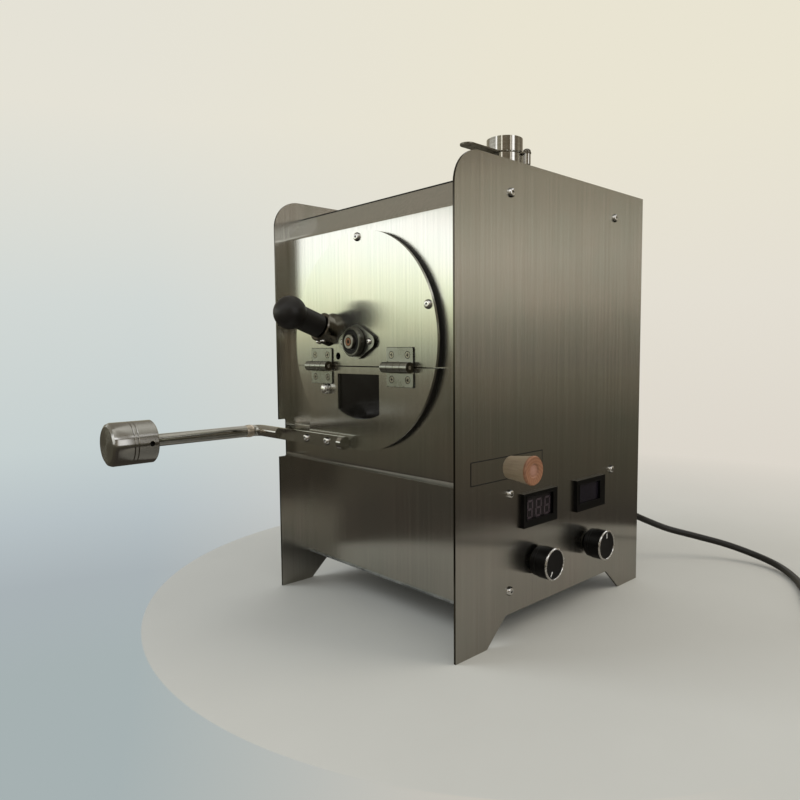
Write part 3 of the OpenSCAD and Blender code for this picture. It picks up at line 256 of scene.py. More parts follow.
# colour, roughness and relief that follow one pattern, as links for a Principled shader
def followPattern(tree, pattern, stops, rough, relief=None, span=(0.3, 0.7)):
    ends = {"From Min": span[0], "From Max": span[1], "To Min": rough[0], "To Max": rough[1]}
    look = {"Roughness": addNode(tree, "MapRange", ends, {"Value": pattern})}
    if stops:
        look["Base Color"] = addNode(tree, "ValToRGB", {"stops": stops}, {"Fac": pattern})
    if relief:
        bump = {"Strength": relief[0], "Distance": relief[1]}
        look["Normal"] = addNode(tree, "Bump", bump, {"Height": pattern})
    return look


# painted shade: darker where a face turns away from one axis, on cut edges, recess walls and the sides of a
# barrel
def paintedEdgeShade(tree, colour, axis, shade, turn=(0.4, 0.8)):
    normal = addNode(tree, "NewGeometry").outputs["Normal"]
    across = addNode(tree, "SeparateXYZ", links={"Vector": normal}).outputs[axis]
    facing = addNode(tree, "Math", {"operation": "ABSOLUTE"}, {0: across})
    amount = addNode(tree, "MapRange", {"From Min": turn[0], "From Max": turn[1]}, {"Value": facing})
    return addNode(
        tree, "Mix", {"data_type": "RGBA", 6: hexColour(shade)}, {0: amount, 7: colour}
    ).outputs[2]


# a material whose whole look follows one cloudy pattern, given as its size, detail and roughness
def cloudyMaterial(name, settings, cloud, stops, rough, relief=None, edge=None):
    material, tree = newMaterial(name)
    size, detail, roughness = cloud
    look = followPattern(tree, grain(tree, (size,) * 3, detail, roughness), stops, rough, relief)
    # painted shade on the faces that turn away from the given axis
    if edge:
        look["Base Color"] = paintedEdgeShade(tree, look["Base Color"], *edge)
    finishMaterial(tree, addNode(tree, "BsdfPrincipled", settings, look))
    return material


# millimetres across and along; the real hairlines are finer, and these are as coarse as they need to show
sheetGrain = {
    "band": (2.6, 2.6, 300), "hair": (0.6, 0.6, 70), "smudge": (70, 70, 70), "hairShare": 0.45,
    # the edge colour here is painted shade on the sheet's cut edges
    "cast": [(0.3, "#f2f4ee"), (0.7, "#fbf6f0")], "edgeShadeColour": "#4a463e",
}


# AISI 304 sheet, belt brushed: upright hairlines that smear reflections sideways, and painted shade on the
# cut edges
def brushedStainless(name, dark, light, rough, spread, flatAxis=None):
    material, tree = newMaterial(name)
    band, hair = (grain(tree, sheetGrain[key], 3, 0.65) for key in ("band", "hair"))
    both = addNode(
        tree, "Mix", {"data_type": "FLOAT", 0: sheetGrain["hairShare"]}, {2: band, 3: hair}
    )
    smudge = grain(tree, sheetGrain["smudge"], 4, 0.6)
    cast = addNode(tree, "ValToRGB", {"stops": sheetGrain["cast"]}, {"Fac": smudge})
    look = followPattern(tree, both, [(0.3, dark), (0.7, light)], (rough - 0.02, rough + 0.03))
    look["Base Color"] = addNode(
        tree, "Mix", {"data_type": "RGBA", "blend_type": "MULTIPLY", 0: 1.0},
        {6: look["Base Color"], 7: cast},
    ).outputs[2]
    # painted shade on the cut edges, which turn away from flatAxis
    if flatAxis:
        look["Base Color"] = paintedEdgeShade(tree, look["Base Color"], flatAxis, sheetGrain["edgeShadeColour"])
    look["Normal"] = addNode(tree, "Bump", {"Strength": 0.05, "Distance": 0.00003}, {"Height": hair})
    # the level direction in the surface, across the upright hairlines
    normal = addNode(tree, "NewGeometry").outputs["Normal"]
    look["Tangent"] = addNode(
        tree, "VectorMath", {"operation": "CROSS_PRODUCT", 1: (0.02, 0, 1)}, {0: normal}
    )
    finishMaterial(tree, addNode(tree, "BsdfPrincipled", {"Metallic": 1.0, "Anisotropic": spread}, look))
    return material


# stainless bar or weld, linished: soft cloudy lines of the given size
def turnedSteel(name, dark, light, rough, size, bump):
    return cloudyMaterial(
        name, {"Metallic": 1.0}, (size, 3, 0.6), [(0.3, dark), (0.7, light)],
        (rough - 0.05, rough + 0.07), (bump, 0.00005),
    )


latheFeed = 0.667  # millimetres between rings; the real ones are finer


# bar turned on a lathe: fine rings, so that reflections smear along the axis and out from its middle
def lathedSteel(name, dark, light, rough, spread, centre, axis):
    material, tree = newMaterial(name)
    place = addNode(tree, "TexCoord").outputs["Object"]
    outward = addNode(tree, "VectorMath", {"operation": "SUBTRACT", 1: centre}, {0: place})
    ring = addNode(tree, "VectorMath", {"operation": "CROSS_PRODUCT", 0: axis}, {1: outward})
    normal = addNode(tree, "NewGeometry").outputs["Normal"]
    along = addNode(
        tree, "VectorMath", {"operation": "DOT_PRODUCT", 1: axis}, {0: outward}
    ).outputs["Value"]
    radius = addNode(tree, "VectorMath", {"operation": "LENGTH"}, {0: ring}).outputs["Value"]
    groove = addNode(
        tree, "TexNoise", {"Scale": 1000 / latheFeed, "Detail": 3, "Roughness": 0.6},
        {"Vector": addNode(tree, "CombineXYZ", links={"X": along, "Y": radius})},
    ).outputs["Fac"]
    look = followPattern(
        tree, groove, [(0.3, dark), (0.7, light)], (rough - 0.03, rough + 0.03), (0.06, 0.00003)
    )
    look["Tangent"] = addNode(
        tree, "VectorMath", {"operation": "CROSS_PRODUCT"}, {0: normal, 1: ring}
    )
    finishMaterial(tree, addNode(tree, "BsdfPrincipled", {"Metallic": 1.0, "Anisotropic": spread}, look))
    return material


# plated or polished metal: faint stains of the given size, soft wear, and painted shade on the edges where
# flatAxis is set
def platedMetal(
    name, dark, light, rough, size=4, bump=0.08, flatAxis=None, edge="#35322c", turn=(0.4, 0.8)
):
    return cloudyMaterial(
        name, {"Metallic": 1.0}, (size, 5, 0.6), [(0.32, dark), (0.68, light)],
        (max(0.03, rough - 0.05), rough + 0.08), (bump, 0.00004), flatAxis and (flatAxis, edge, turn),
    )


# cast flange bearing: the plated flange is as pale as the disc, with painted shade on its edges; the housing
# that stands out is dark
def flangeBearing(name, flange, housing, rough, step):
    material, tree = newMaterial(name)
    place = addNode(tree, "TexCoord").outputs["Object"]
    depth = addNode(tree, "SeparateXYZ", links={"Vector": place}).outputs["Y"]
    grit = grain(tree, (2.38,) * 3, 4, 0.6)
    look = followPattern(
        tree, grit, [(0.3, housing[0]), (0.7, housing[1])], (rough - 0.04, rough + 0.08), (0.12, 0.00004)
    )
    plated = addNode(tree, "ValToRGB", {"stops": [(0.3, flange[0]), (0.7, flange[1])]}, {"Fac": grit})
    look["Base Color"] = addNode(
        tree, "Mix", {"data_type": "RGBA"},
        {
            0: addNode(
                tree, "MapRange", {"From Min": step - 0.0001, "From Max": step + 0.0001}, {"Value": depth}
            ),
            6: look["Base Color"],
            # painted shade on the flange's edges
            7: paintedEdgeShade(tree, plated, "Y", "#26241f"),
        },
    ).outputs[2]
    finishMaterial(tree, addNode(tree, "BsdfPrincipled", {"Metallic": 1.0}, look))
    return material


# hot-dip zinc sheet: flat crystals a few millimetres across, each a little turned
def galvanisedSheet(name, dark, light, crystal):
    material, tree = newMaterial(name)
    place = addNode(tree, "TexCoord").outputs["Object"]
    spangle = addNode(tree, "TexVoronoi", {"Scale": 1000 / crystal, "feature": "F1"}, {"Vector": place})
    tone = addNode(tree, "SeparateColor", links={"Color": spangle.outputs["Color"]})
    look = followPattern(
        tree, tone, [(0.1, dark), (0.9, light)], (0.32, 0.52), (0.1, 0.0001), span=(0, 1)
    )
    finishMaterial(tree, addNode(tree, "BsdfPrincipled", {"Metallic": 0.9}, look))
    return material


# moulded ABS, phenolic or nylon, or a sprayed coat: even colour, and a spark-eroded texture that is
# coarser than the real one, so that it shows
def mouldedPlastic(name, dark, light, rough, size=0.6, bump=0.15, gloss=0.5):
    material, tree = newMaterial(name)
    texture = grain(tree, (size,) * 3)
    patch = grain(tree, (25,) * 3, 3, 0.5)
    look = followPattern(tree, patch, [(0.3, dark), (0.7, light)], (rough - 0.04, rough + 0.05))
    look["Normal"] = addNode(tree, "Bump", {"Strength": bump, "Distance": 0.00005}, {"Height": texture})
    shader = addNode(tree, "BsdfPrincipled", {"IOR": 1.5, "Specular IOR Level": gloss}, look)
    finishMaterial(tree, shader)
    return material


# cut silicone gasket sheet: matt black with a dusty bloom
def siliconeRubber(name, dark, light):
    stops = [(0.35, dark), (0.75, light)]
    return cloudyMaterial(name, {"IOR": 1.43}, (4.55, 5, 0.65), stops, (0.55, 0.75), (0.2, 0.0001))


# mild steel darkened by heat and coffee oil
def seasonedDrum(name, dark, light):
    stops = [(0.3, dark), (0.7, light)]
    return cloudyMaterial(name, {"Metallic": 0.8}, (16.7, 6, 0.65), stops, (0.35, 0.6), (0.15, 0.0003))


# streaks, pores and the step between growth rings in millimetres; the tree's heart, counted in rings; the
# paler middle colour is a painted highlight on the end
beechGrain = {
    "flank": (40, 1.43, 1.43), "pore": (3.85, 0.385, 0.385), "ring": 2.6, "heart": (0, 28.0, -52.5),
    "flankStops": [(0.3, "#8b7b64"), (0.7, "#9b8b73")], "endStops": [(0.0, "#84593f"), (1.0, "#93684c")],
    "middle": "#a2796a", "highlightFrom": 0.003, "highlightTo": 0.006, "highlightShare": 0.8,
    "endFrom": 0.0034, "endTo": 0.0022,
}


# oiled beech turned across the face: beige flanks with short pores, darker orange end grain, and a painted
# highlight that makes the end paler in its middle
def turnedBeech(name, wood, face):
    material, tree = newMaterial(name)
    place = addNode(tree, "TexCoord").outputs["Object"]
    streak = grain(tree, wood["flank"], 4, 0.6)
    flank = addNode(tree, "ValToRGB", {"stops": wood["flankStops"]}, {"Fac": streak})
    ringSpace = addNode(
        tree, "Mapping", {"Location": wood["heart"], "Scale": (1000 / wood["ring"],) * 3}, {"Vector": place}
    )
    # at this scale a wave texture's rings lie one unit apart
    wave = {"wave_type": "RINGS", "rings_direction": "X", "Scale": math.tau / 20}
    rings = addNode(
        tree, "TexWave", {**wave, "Distortion": 2.5, "Detail": 2.0}, {"Vector": ringSpace}
    ).outputs["Fac"]
    fromMiddle = addNode(
        tree, "VectorMath", {"operation": "DISTANCE", 1: face}, {0: place}
    ).outputs["Value"]
    # painted highlight: the end grain grows paler towards the middle of its face
    paler = addNode(
        tree, "MapRange",
        {"From Min": wood["highlightFrom"], "From Max": wood["highlightTo"], "To Min": wood["highlightShare"],
         "To Max": 0},
        {"Value": fromMiddle},
    )
    end = addNode(
        tree, "Mix", {"data_type": "RGBA", 7: hexColour(wood["middle"])},
        {0: paler, 6: addNode(tree, "ValToRGB", {"stops": wood["endStops"]}, {"Fac": rings})},
    ).outputs[2]
    depth = addNode(tree, "SeparateXYZ", links={"Vector": place}).outputs["X"]
    endGrain = addNode(
        tree, "MapRange", {"From Min": face.x - wood["endFrom"], "From Max": face.x - wood["endTo"]},
        {"Value": depth},
    )
    look = followPattern(tree, grain(tree, wood["pore"], 2, 0.7), None, (0.42, 0.6), (0.25, 0.00008))
    look["Base Color"] = addNode(
        tree, "Mix", {"data_type": "RGBA"}, {0: endGrain, 6: flank, 7: end}
    ).outputs[2]
    finishMaterial(tree, addNode(
        tree, "BsdfPrincipled", {"IOR": 1.5, "Coat Weight": 0.15, "Coat Roughness": 0.25}, look
    ))
    return material


# needled ceramic fibre blanket: white, soft and fuzzy
def ceramicFibre(name, dark, light):
    stops = [(0.3, dark), (0.7, light)]
    return cloudyMaterial(name, {"Sheen Weight": 0.3}, (2.86, 6, 0.7), stops, (0.85, 0.98), (0.6, 0.001))


# tempered sight glass, nearly black and nearly opaque: painted shade of the dark drum behind it
def shadeDarkGlass(name, dark, light, clearness):
    return cloudyMaterial(
        name, {"IOR": 1.5, "Transmission Weight": clearness}, (14.3, 4, 0.6),
        [(0.3, dark), (0.7, light)], (0.04, 0.12),
    )


leverBox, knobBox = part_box("lever_bar"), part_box("lever_knob")
chimneyMiddle = (0, 0.071, 0.40)
leverKnobMiddle = tuple(boxMiddle("lever_knob"))
woodFace = boxMiddle("drawer_knob")
woodFace.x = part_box("drawer_knob")[1].x
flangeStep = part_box("front_bearing")[0].y + 0.0052

# sheets: the side plates smear a little more than the front, as their hairlines are deeper, and get painted
# shade on their cut edges
sideSteel = brushedStainless("brushedStainlessSide", "#c4c4c2", "#dadad9", 0.18, 1.0, "X")
frontSteel = brushedStainless("brushedStainlessFront", "#c7c9c6", "#dddedc", 0.18, 0.9)
# turned parts: the pipe is nearly a mirror, the lever's knob has coarser rings
polishedPipe = lathedSteel("polishedStainlessPipe", "#c2c0bb", "#d2d0cb", 0.12, 0.7, chimneyMiddle, (0, 0, 1))
turnedKnob = lathedSteel("turnedStainlessKnob", "#a9a8a5", "#bfbeba", 0.17, 0.92, leverKnobMiddle, (0, -1, 0))
# bar and weld: drawn and smooth, brushed and warm, oiled and dim; the damper blade darker, as painted shade
# in the pipe's slit
drawnBar = turnedSteel("drawnStainlessBar", "#b4b3ae", "#c8c7c2", 0.13, 16.7, 0.08)
weldSteel = turnedSteel("brushedWeld", "#cdbfae", "#e6dccd", 0.38, 1.11, 0.3)
collarSteel = turnedSteel("oiledStainlessCollar", "#6e6a62", "#827d74", 0.2, 1.43, 0.08)
# painted shade: the blade is dark as if in the shade of the pipe's slit
bladeSteel = turnedSteel("damperSteelInShade", "#6f6b60", "#868176", 0.3, 5, 0.1)
# fittings: satin pressed leaves with painted shade on their edges and barrel sides, bright screws with
# painted shade on their rims and in their crosses, a satin rim, plain satin bars
stampedHinge = platedMetal("stampedHingeSteel", "#9b9d95", "#aaaca4", 0.28, 20, 0.03, "Y", "#5f5b52")
brightScrew = platedMetal(
    "nickelPlatedScrew", "#efeeea", "#ffffff", 0.2, 2, 0.08, "Z", "#24221e", (0.72, 0.38)
)
crossScrew = platedMetal("crossRecessScrew", "#a9a69d", "#c9c5bb", 0.18, 2, 0.08, "Y", "#12110f")
knobRim = platedMetal("satinAluminiumRim", "#e0dfdd", "#f2f1ee", 0.24, 2)
satinSteel = platedMetal("satinStainless", "#8a8880", "#aeaba3", 0.32)
# castings: a pale flange with painted shade on its edges round a dark housing, dull zinc, and steel blackened
# in oil
castFlange = flangeBearing(
    "castFlangeBearing", ("#a3a59c", "#b3b5ac"), ("#62625c", "#76766f"), 0.3, flangeStep
)
castZinc = platedMetal("castZincFlange", "#45463f", "#5a5b53", 0.3, 3, 0.15)
castIron = platedMetal("blackenedSteel", "#23231f", "#3d3c37", 0.4, 1.5, 0.3)
# warm metals: a brass coupler, and a shaft end that heat has tarnished to copper
brassCoupler = platedMetal("turnedBrass", "#a88a46", "#cfae62", 0.25)
copperShaft = platedMetal("tarnishedShaftEnd", "#6e4a39", "#9a705a", 0.32, 1.2)
zincSheet = galvanisedSheet("galvanisedSheet", "#7c8082", "#a9adaf", 6.25)
# its black also draws the painted shade lines in joints, gaps and recesses
gasketAndShadeBlack = siliconeRubber("siliconeGasketAndShadeLines", "#0d0d0b", "#24231f")
# black mouldings: a grained grip, glossy meter cases, matt knobs, dull nylon and vinyl
gripPhenolic = mouldedPlastic("phenolicGrip", "#0f0d0b", "#1b1815", 0.42, 0.8, 0.3)
meterPlastic = mouldedPlastic("absMeterHousing", "#030303", "#070707", 0.3, gloss=0.25)
knobPlastic = mouldedPlastic("absKnob", "#030303", "#060606", 0.42, gloss=0.25)
glandNylon = mouldedPlastic("nylonGland", "#0d0d0d", "#1b1b1b", 0.45)
cordVinyl = mouldedPlastic("vinylCordSheath", "#0e0d0b", "#1f1d19", 0.4, 1.0, 0.25)
hookStrap = mouldedPlastic("wovenNylonStrap", "#0b0b0b", "#191918", 0.7, 0.6, 0.5)
# smooth coats: green lacquer on the board, dark powder on the motor, white paint on the pointers
boardLacquer = mouldedPlastic("lacqueredBoard", "#12351f", "#1d4b2d", 0.3)
motorPaint = mouldedPlastic("powderCoatMotor", "#24262a", "#34373c", 0.5, 0.4, 0.4)
whitePaint = mouldedPlastic("pointerPaint", "#d8d8d4", "#ecece8", 0.5)
# meter faces: a smoked window, or a dark face whose unlit digits stand out a little paler
meterGlass = mouldedPlastic("smokedAcrylicWindow", "#151318", "#1e1b22", 0.12, gloss=0.4)
meterDisplay = mouldedPlastic("epoxyDisplayFace", "#1c181a", "#232021", 0.2, gloss=0.3)
deadSegments = mouldedPlastic("unlitSegments", "#3a3236", "#453c41", 0.35, gloss=0.3)
drumSteel = seasonedDrum("seasonedDrumSteel", "#1d1713", "#4a4038")
knobBeech = turnedBeech("oiledBeech", beechGrain, woodFace)
fibreBlanket = ceramicFibre("ceramicFibre", "#cfc9bb", "#eee9dd")
# painted shade: the glass lets almost nothing through and is nearly black
sightGlass = shadeDarkGlass("shadeDarkSightGlass", "#030304", "#070808", 0.04)

finishes = {
    sideSteel: ["side_plate_right", "side_plate_left", "drawer_front"],
    frontSteel: ["front_panel", "top_cover", "rear_panel", "faceplate", "door_plate"],
    zincSheet: [
        "bottom_plate", "rear_bulkhead", "chamber_shell", "drawer_shelf", "flue_box", "motor_bracket",
    ],
    satinSteel: [
        "tie_bars", "glass_clamp", "drum_shaft", "sampler_tube", "chaff_tray", "heat_shaft", "speed_shaft",
        "heat_control", "speed_control",
    ],
    brightScrew: ["frame_screws", "small_screws", "lever_screws", "hinge_pins"],
    crossScrew: ["hinge_screws", "door_hinge_screws"],
    fibreBlanket: ["insulation_blanket"],
    drumSteel: ["drum_shell", "drum_spiders", "heating_tubes"],
    gasketAndShadeBlack: ["faceplate_gasket", "door_gasket"],
    castFlange: ["front_bearing"],
    castZinc: ["rear_bearing"],
    castIron: ["control_nuts"],
    stampedHinge: ["hinge_upper_leaves", "hinge_lower_leaves"],
    polishedPipe: ["chimney_pipe"],
    collarSteel: ["sampler_guide", "damper_bolt"],
    meterPlastic: ["temperature_meter", "voltage_meter"],
    motorPaint: ["gear_motor"],
    boardLacquer: ["power_controller"],
    glandNylon: ["cord_gland", "cord_plug"],
    brassCoupler: ["shaft_coupler"],
    sightGlass: ["sight_glass"],
    drawnBar: ["lever_bar"],
    bladeSteel: ["damper_blade"],
    turnedKnob: ["lever_knob"],
    gripPhenolic: ["sampler_grip"],
    knobBeech: ["drawer_knob"],
    knobPlastic: ["heat_knob", "speed_knob"],
}

for material, names in finishes.items():
    for name in names:
        node = nodes[name]
        node.data.materials.clear()
        node.data.materials.append(material)
mainsCord.data.materials.append(cordVinyl)
cordTie.data.materials.append(hookStrap)
# the real side plate shows no mirror image of the plug or of the wooden knob
for name in ("cord_plug", "drawer_knob"):
    nodes[name].visible_glossy = False

smoothing = {"join": 1e-6, "nodeCrease": 30, "pieceDoubles": 1e-7, "pieceCrease": 35}

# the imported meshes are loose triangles: join them, then keep the creases sharp
for node in nodes.values():
    node.data.polygons.foreach_set("use_smooth", [True] * len(node.data.polygons))
    weld = node.modifiers.new("join", "WELD")
    weld.merge_threshold = smoothing["join"]
    crease = node.modifiers.new("creases", "EDGE_SPLIT")
    crease.split_angle = math.radians(smoothing["nodeCrease"])
print("finishes on", sum(len(names) for names in finishes.values()), "nodes")


# turn a finished bmesh into a piece that rides on a body
def addPiece(name, mesh, body, materials, smooth=True):
    bmesh.ops.remove_doubles(mesh, verts=mesh.verts, dist=smoothing["pieceDoubles"])
    bmesh.ops.recalc_face_normals(mesh, faces=mesh.faces)
    data = meshData(name, mesh)
    for material in materials:
        data.materials.append(material)
    data.polygons.foreach_set("use_smooth", [smooth] * len(data.polygons))
    piece = addObject(name, data)
    if smooth:
        crease = piece.modifiers.new("creases", "EDGE_SPLIT")
        crease.split_angle = math.radians(smoothing["pieceCrease"])
    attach(piece, body)
    return piece


nearAxis = 0.00005  # radius at which a turned profile closes on its axis


# turn a profile of (radius, distance along the axis, material) about an axis
def spinProfile(mesh, profile, centre, axis, steps=96):
    along = Vector(axis).normalized()
    aside = along.orthogonal().normalized()
    verts = [mesh.verts.new(Vector(centre) + aside * r + along * d) for r, d, _ in profile]
    edges = [mesh.edges.new((a, b)) for a, b in zip(verts, verts[1:])]
    before = set(mesh.faces)
    bmesh.ops.spin(
        mesh, geom=verts + edges, cent=centre, axis=along, angle=math.tau, steps=steps, use_merge=True
    )
    # each face takes the material of the stretch of profile that it lies nearest
    for face in set(mesh.faces) - before:
        middle = sum((v.co for v in face.verts), Vector()) / len(face.verts) - Vector(centre)
        distance = middle.dot(along)
        radius = (middle - along * distance).length
        spans = [
            (((r0 + r1) / 2 - radius) ** 2 + ((d0 + d1) / 2 - distance) ** 2, material)
            for (r0, d0, material), (r1, d1, _) in zip(profile, profile[1:])
        ]
        face.material_index = min(spans)[1]


# a bevelled block, optionally turned by a matrix about its centre
def block(mesh, centre, size, turn=None, material=0, bevel=0.0):
    before = set(mesh.verts)
    made = bmesh.ops.create_cube(mesh, size=1)["verts"]
    bmesh.ops.scale(mesh, vec=size, verts=made)
    if bevel:
        edges = list({e for v in made for e in v.link_edges})
        bmesh.ops.bevel(
            mesh, geom=edges, offset=bevel, segments=2, profile=0.5, affect="EDGES",
            clamp_overlap=True, material=-1,
        )
        made = [v for v in mesh.verts if v not in before]
    if turn is not None:
        bmesh.ops.transform(mesh, matrix=turn.to_4x4(), verts=made)
    bmesh.ops.translate(mesh, vec=centre, verts=made)
    for face in {f for v in made for f in v.link_faces}:
        face.material_index = material


# pointer is the angle at rest, in degrees up from the back of the machine
controlKnobs = {
    "heatDial": {"node": "heat_knob", "body": "heat_dial", "pointer": 237},
    "speedDial": {"node": "speed_knob", "body": "speed_dial", "pointer": 90},
}
knobForm = {
    "radius": 0.0136, "rim": 0.0139, "length": 0.0144, "skirt": 0.0028, "bore": 0.0095,
    "boreDepth": 0.0030, "edge": 0.0006, "groove": 0.0001, "rimWidth": 0.0014, "dish": 0.0008,
    "dishRadius": 0.6, "pointerLength": 0.0046, "pointerWidth": 0.0009, "pointerThickness": 0.0004,
    "pointerInset": 0.0024, "pointerDepth": 0.0005,
}


# black control knob with a bright turned rim and a white pointer
def makeKnob(name, place, form):
    r, rim, length, skirt, edge = (form[k] for k in ("radius", "rim", "length", "skirt", "edge"))
    groove, rimInside, dish = form["groove"], rim - form["rimWidth"], form["dish"]
    profile = [
        (nearAxis, form["boreDepth"], 0), (form["bore"], form["boreDepth"], 0), (form["bore"], -skirt, 0),
        (r - 2 * edge, -skirt, 0), (r - edge, edge - skirt, 0), (r - edge, 3 * edge, 0), (r, 4 * edge, 0),
        (r, length - 2.5 * edge, 0), (r - groove, length - 2.5 * edge + groove, 1),
        (rim, length - 2 * edge, 1), (rim, length - edge, 1), (rim - edge, length, 1),
        (rimInside, length, 1), (rimInside - edge / 2, length - dish + edge / 2, 0),
        (r * form["dishRadius"], length - dish + groove, 0), (nearAxis, length - dish, 0),
    ]
    mesh = bmesh.new()
    centre = boxMiddle(place["node"])
    centre.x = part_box(place["node"])[0].x
    spinProfile(mesh, profile, centre, (1, 0, 0))
    angle = math.radians(place["pointer"])
    out = Vector((0, math.cos(angle), math.sin(angle)))
    reach = r - form["pointerInset"] - form["pointerLength"] / 2
    middle = centre + out * reach + Vector((length - form["pointerDepth"], 0, 0))
    turn = Matrix(((1, 0, 0), (0, out.y, -out.z), (0, out.z, out.y)))
    size = (form["pointerThickness"], form["pointerLength"], form["pointerWidth"])
    block(mesh, middle, size, turn, 2)
    piece = addPiece(name, mesh, place["body"], [knobPlastic, knobRim, whitePaint])
    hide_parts(place["node"])


for name, place in controlKnobs.items():
    makeKnob(name, place, knobForm)
print("control knobs made")


# window is its left and lower edges from the meter's middle, then its width and height
meterFaces = {
    "temperatureDisplay": {
        "node": "temperature_meter", "window": (-0.0200, -0.0080, 0.0375, 0.0193), "digits": 3,
    },
    "voltageDisplay": {
        "node": "voltage_meter", "window": (-0.0200, -0.0075, 0.0350, 0.0175), "digits": 0,
    },
}
displayForm = {
    "recess": 0.0022, "sheet": 0.0002, "margin": 0.0003, "sheetBevel": 0.00005,
    "lip": 0.0009, "proud": 0.0003, "lipBevel": 0.0001,
    "height": 0.0158, "width": 0.0082, "pitch": 0.0124, "bar": 0.0017, "slant": 0.1, "splay": 1.02,
    "gap": 0.0004, "thickness": 0.0002, "lift": 0.00015, "drop": 0.0016,
}


# where the seven bars of a digit lie and how wide and high they are: four upright, then three level
def digitBars(form):
    across, climb = form["width"] - form["bar"], (form["height"] - form["bar"]) / 2
    for half in (-0.5, 0.5):
        for side in (-0.5, 0.5):
            yield (side * across * form["splay"], half * climb), (form["bar"], climb - form["gap"])
    for level in (-1, 0, 1):
        yield (0, level * climb), (across, form["bar"])


# recessed display face of a panel meter, with unlit seven-bar digits where it has them
def makeDisplay(name, place, form):
    low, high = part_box(place["node"])
    left, bottom, width, height = place["window"]
    corner = Vector((high.x - form["recess"], (low.y + high.y) / 2 + left, (low.z + high.z) / 2 + bottom))
    centre = corner + Vector((form["sheet"] / 2, width / 2, height / 2))
    mesh = bmesh.new()
    face = (form["sheet"], width - form["margin"], height - form["margin"])
    block(mesh, centre, face, bevel=form["sheetBevel"])
    lip, proud, bevel = form["lip"], form["proud"], form["lipBevel"]
    forward = high.x - centre.x + proud / 2
    for side in (-1, 1):
        rail = centre + Vector((forward, side * (width + lip) / 2, 0))
        block(mesh, rail, (proud, lip, height + 2 * lip), material=2, bevel=bevel)
        rail = centre + Vector((forward, 0, side * (height + lip) / 2))
        block(mesh, rail, (proud, width, lip), material=2, bevel=bevel)
    for i in range(place["digits"]):
        for (y, z), (wide, tall) in digitBars(form):
            aside = (i - 1) * form["pitch"] + y + form["slant"] * z
            offset = Vector((form["lift"], aside, z - form["drop"]))
            block(mesh, centre + offset, (form["thickness"], wide, tall), material=1)
    materials = [meterDisplay if place["digits"] else meterGlass, deadSegments, meterPlastic]
    addPiece(name, mesh, "frame", materials, smooth=False)


for name, place in meterFaces.items():
    makeDisplay(name, place, displayForm)
print("meter displays made")


drumAxis = boxMiddle("drum_shaft").z
bearingFace = (0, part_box("front_bearing")[0].y, drumAxis)

# turned and welded trim: (radius, distance along the axis, material)
trimPieces = {
    "bearingSeal": {
        "body": "frame", "slot": "gasket_black", "centre": bearingFace, "axis": (0, -1, 0),
        "materials": [gasketAndShadeBlack],
        "profile": [
            (0.0067, -0.0011, 0), (0.0067, -0.0005, 0), (0.0078, -0.0003, 0), (0.0084, -0.0006, 0),
            (0.0092, -0.0003, 0), (0.0106, -0.0005, 0), (0.0106, -0.0011, 0),
        ],
    },
    "shaftEnd": {
        "body": "drum", "slot": "brass", "centre": (0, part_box("drum_shaft")[0].y, drumAxis),
        "axis": (0, -1, 0), "materials": [copperShaft, castIron],
        "profile": [
            (0.0041, -0.0002, 1), (0.0039, 0.0002, 1), (0.0034, 0.0002, 0), (0.0019, 0.0002, 0),
            (0.0017, 0.0, 1), (nearAxis, 0.0, 1),
        ],
    },
    # painted shade: the socket's walls and floor are black
    "setScrew": {
        "body": "door", "slot": "gasket_black",
        "centre": (leverKnobMiddle[0] + 0.0056, knobBox[1].y - 0.007, leverKnobMiddle[2]),
        "axis": (1, 0, 0), "materials": [castIron, gasketAndShadeBlack],
        "profile": [
            (nearAxis, 0.0, 0), (0.0022, 0.0, 0), (0.0022, 0.0112, 0), (0.0017, 0.0117, 0),
            (0.0013, 0.0117, 0), (0.0013, 0.0095, 1), (nearAxis, 0.0095, 1),
        ],
    },
    "elbowWeld": {
        "body": "door", "slot": "satin_steel",
        "centre": (leverKnobMiddle[0], leverBox[0].y + 0.123, leverKnobMiddle[2]),
        "axis": (0, -1, 0), "materials": [weldSteel],
        "profile": [
            (0.0058, -0.0042, 0), (0.0063, -0.0030, 0), (0.0065, -0.0012, 0), (0.0064, 0.0010, 0),
            (0.0062, 0.0028, 0), (0.0058, 0.0042, 0),
        ],
    },
    "doorStud": {
        "body": "door", "slot": "satin_steel", "centre": (-0.046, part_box("door_plate")[0].y, 0.2056),
        "axis": (0, -1, 0), "materials": [knobRim],
        "profile": [
            (0.0044, -0.0054, 0), (0.0048, -0.0050, 0), (0.0048, -0.0012, 0), (0.0044, -0.0004, 0),
            (0.0034, 0.0003, 0), (0.0018, 0.0007, 0), (nearAxis, 0.0008, 0),
        ],
    },
    "innerRace": {
        "body": "drum", "slot": "satin_steel", "centre": bearingFace, "axis": (0, -1, 0),
        "materials": [satinSteel],
        "profile": [
            (0.0062, -0.0011, 0), (0.0062, -0.0004, 0), (0.0057, -0.0001, 0), (0.0047, -0.0001, 0),
            (0.0044, -0.0004, 0), (0.0044, -0.0011, 0),
        ],
    },
}

for name, form in trimPieces.items():
    mesh = bmesh.new()
    spinProfile(mesh, form["profile"], form["centre"], form["axis"], 48)
    addPiece(name, mesh, form["body"], form["materials"])
print("bearing, shaft and weld trim made")


# painted shade: dark lines round the hinge leaves and their screws, in the seams between their knuckles, and
# crosses on the screw heads
hingeLines = {
    "x": 0.0538, "discY": -0.1326, "leafY": -0.1339, "leafHalf": 0.0160, "leafNear": 0.0012,
    "leafFar": 0.0162, "line": 0.0004, "depth": 0.0004, "soft": 0.0001,
    "screwX": 0.0097, "screwZ": 0.0102, "headRadius": 0.00265, "headProud": 0.00006,
    "cross": (0.0030, 0.00008, 0.0006), "crossTurns": (35, 125), "crossLean": 20,
    "barrelRadius": 0.00455, "seamX": 0.0080, "seamHalf": 0.00015, "seamFoot": 0.0002,
}


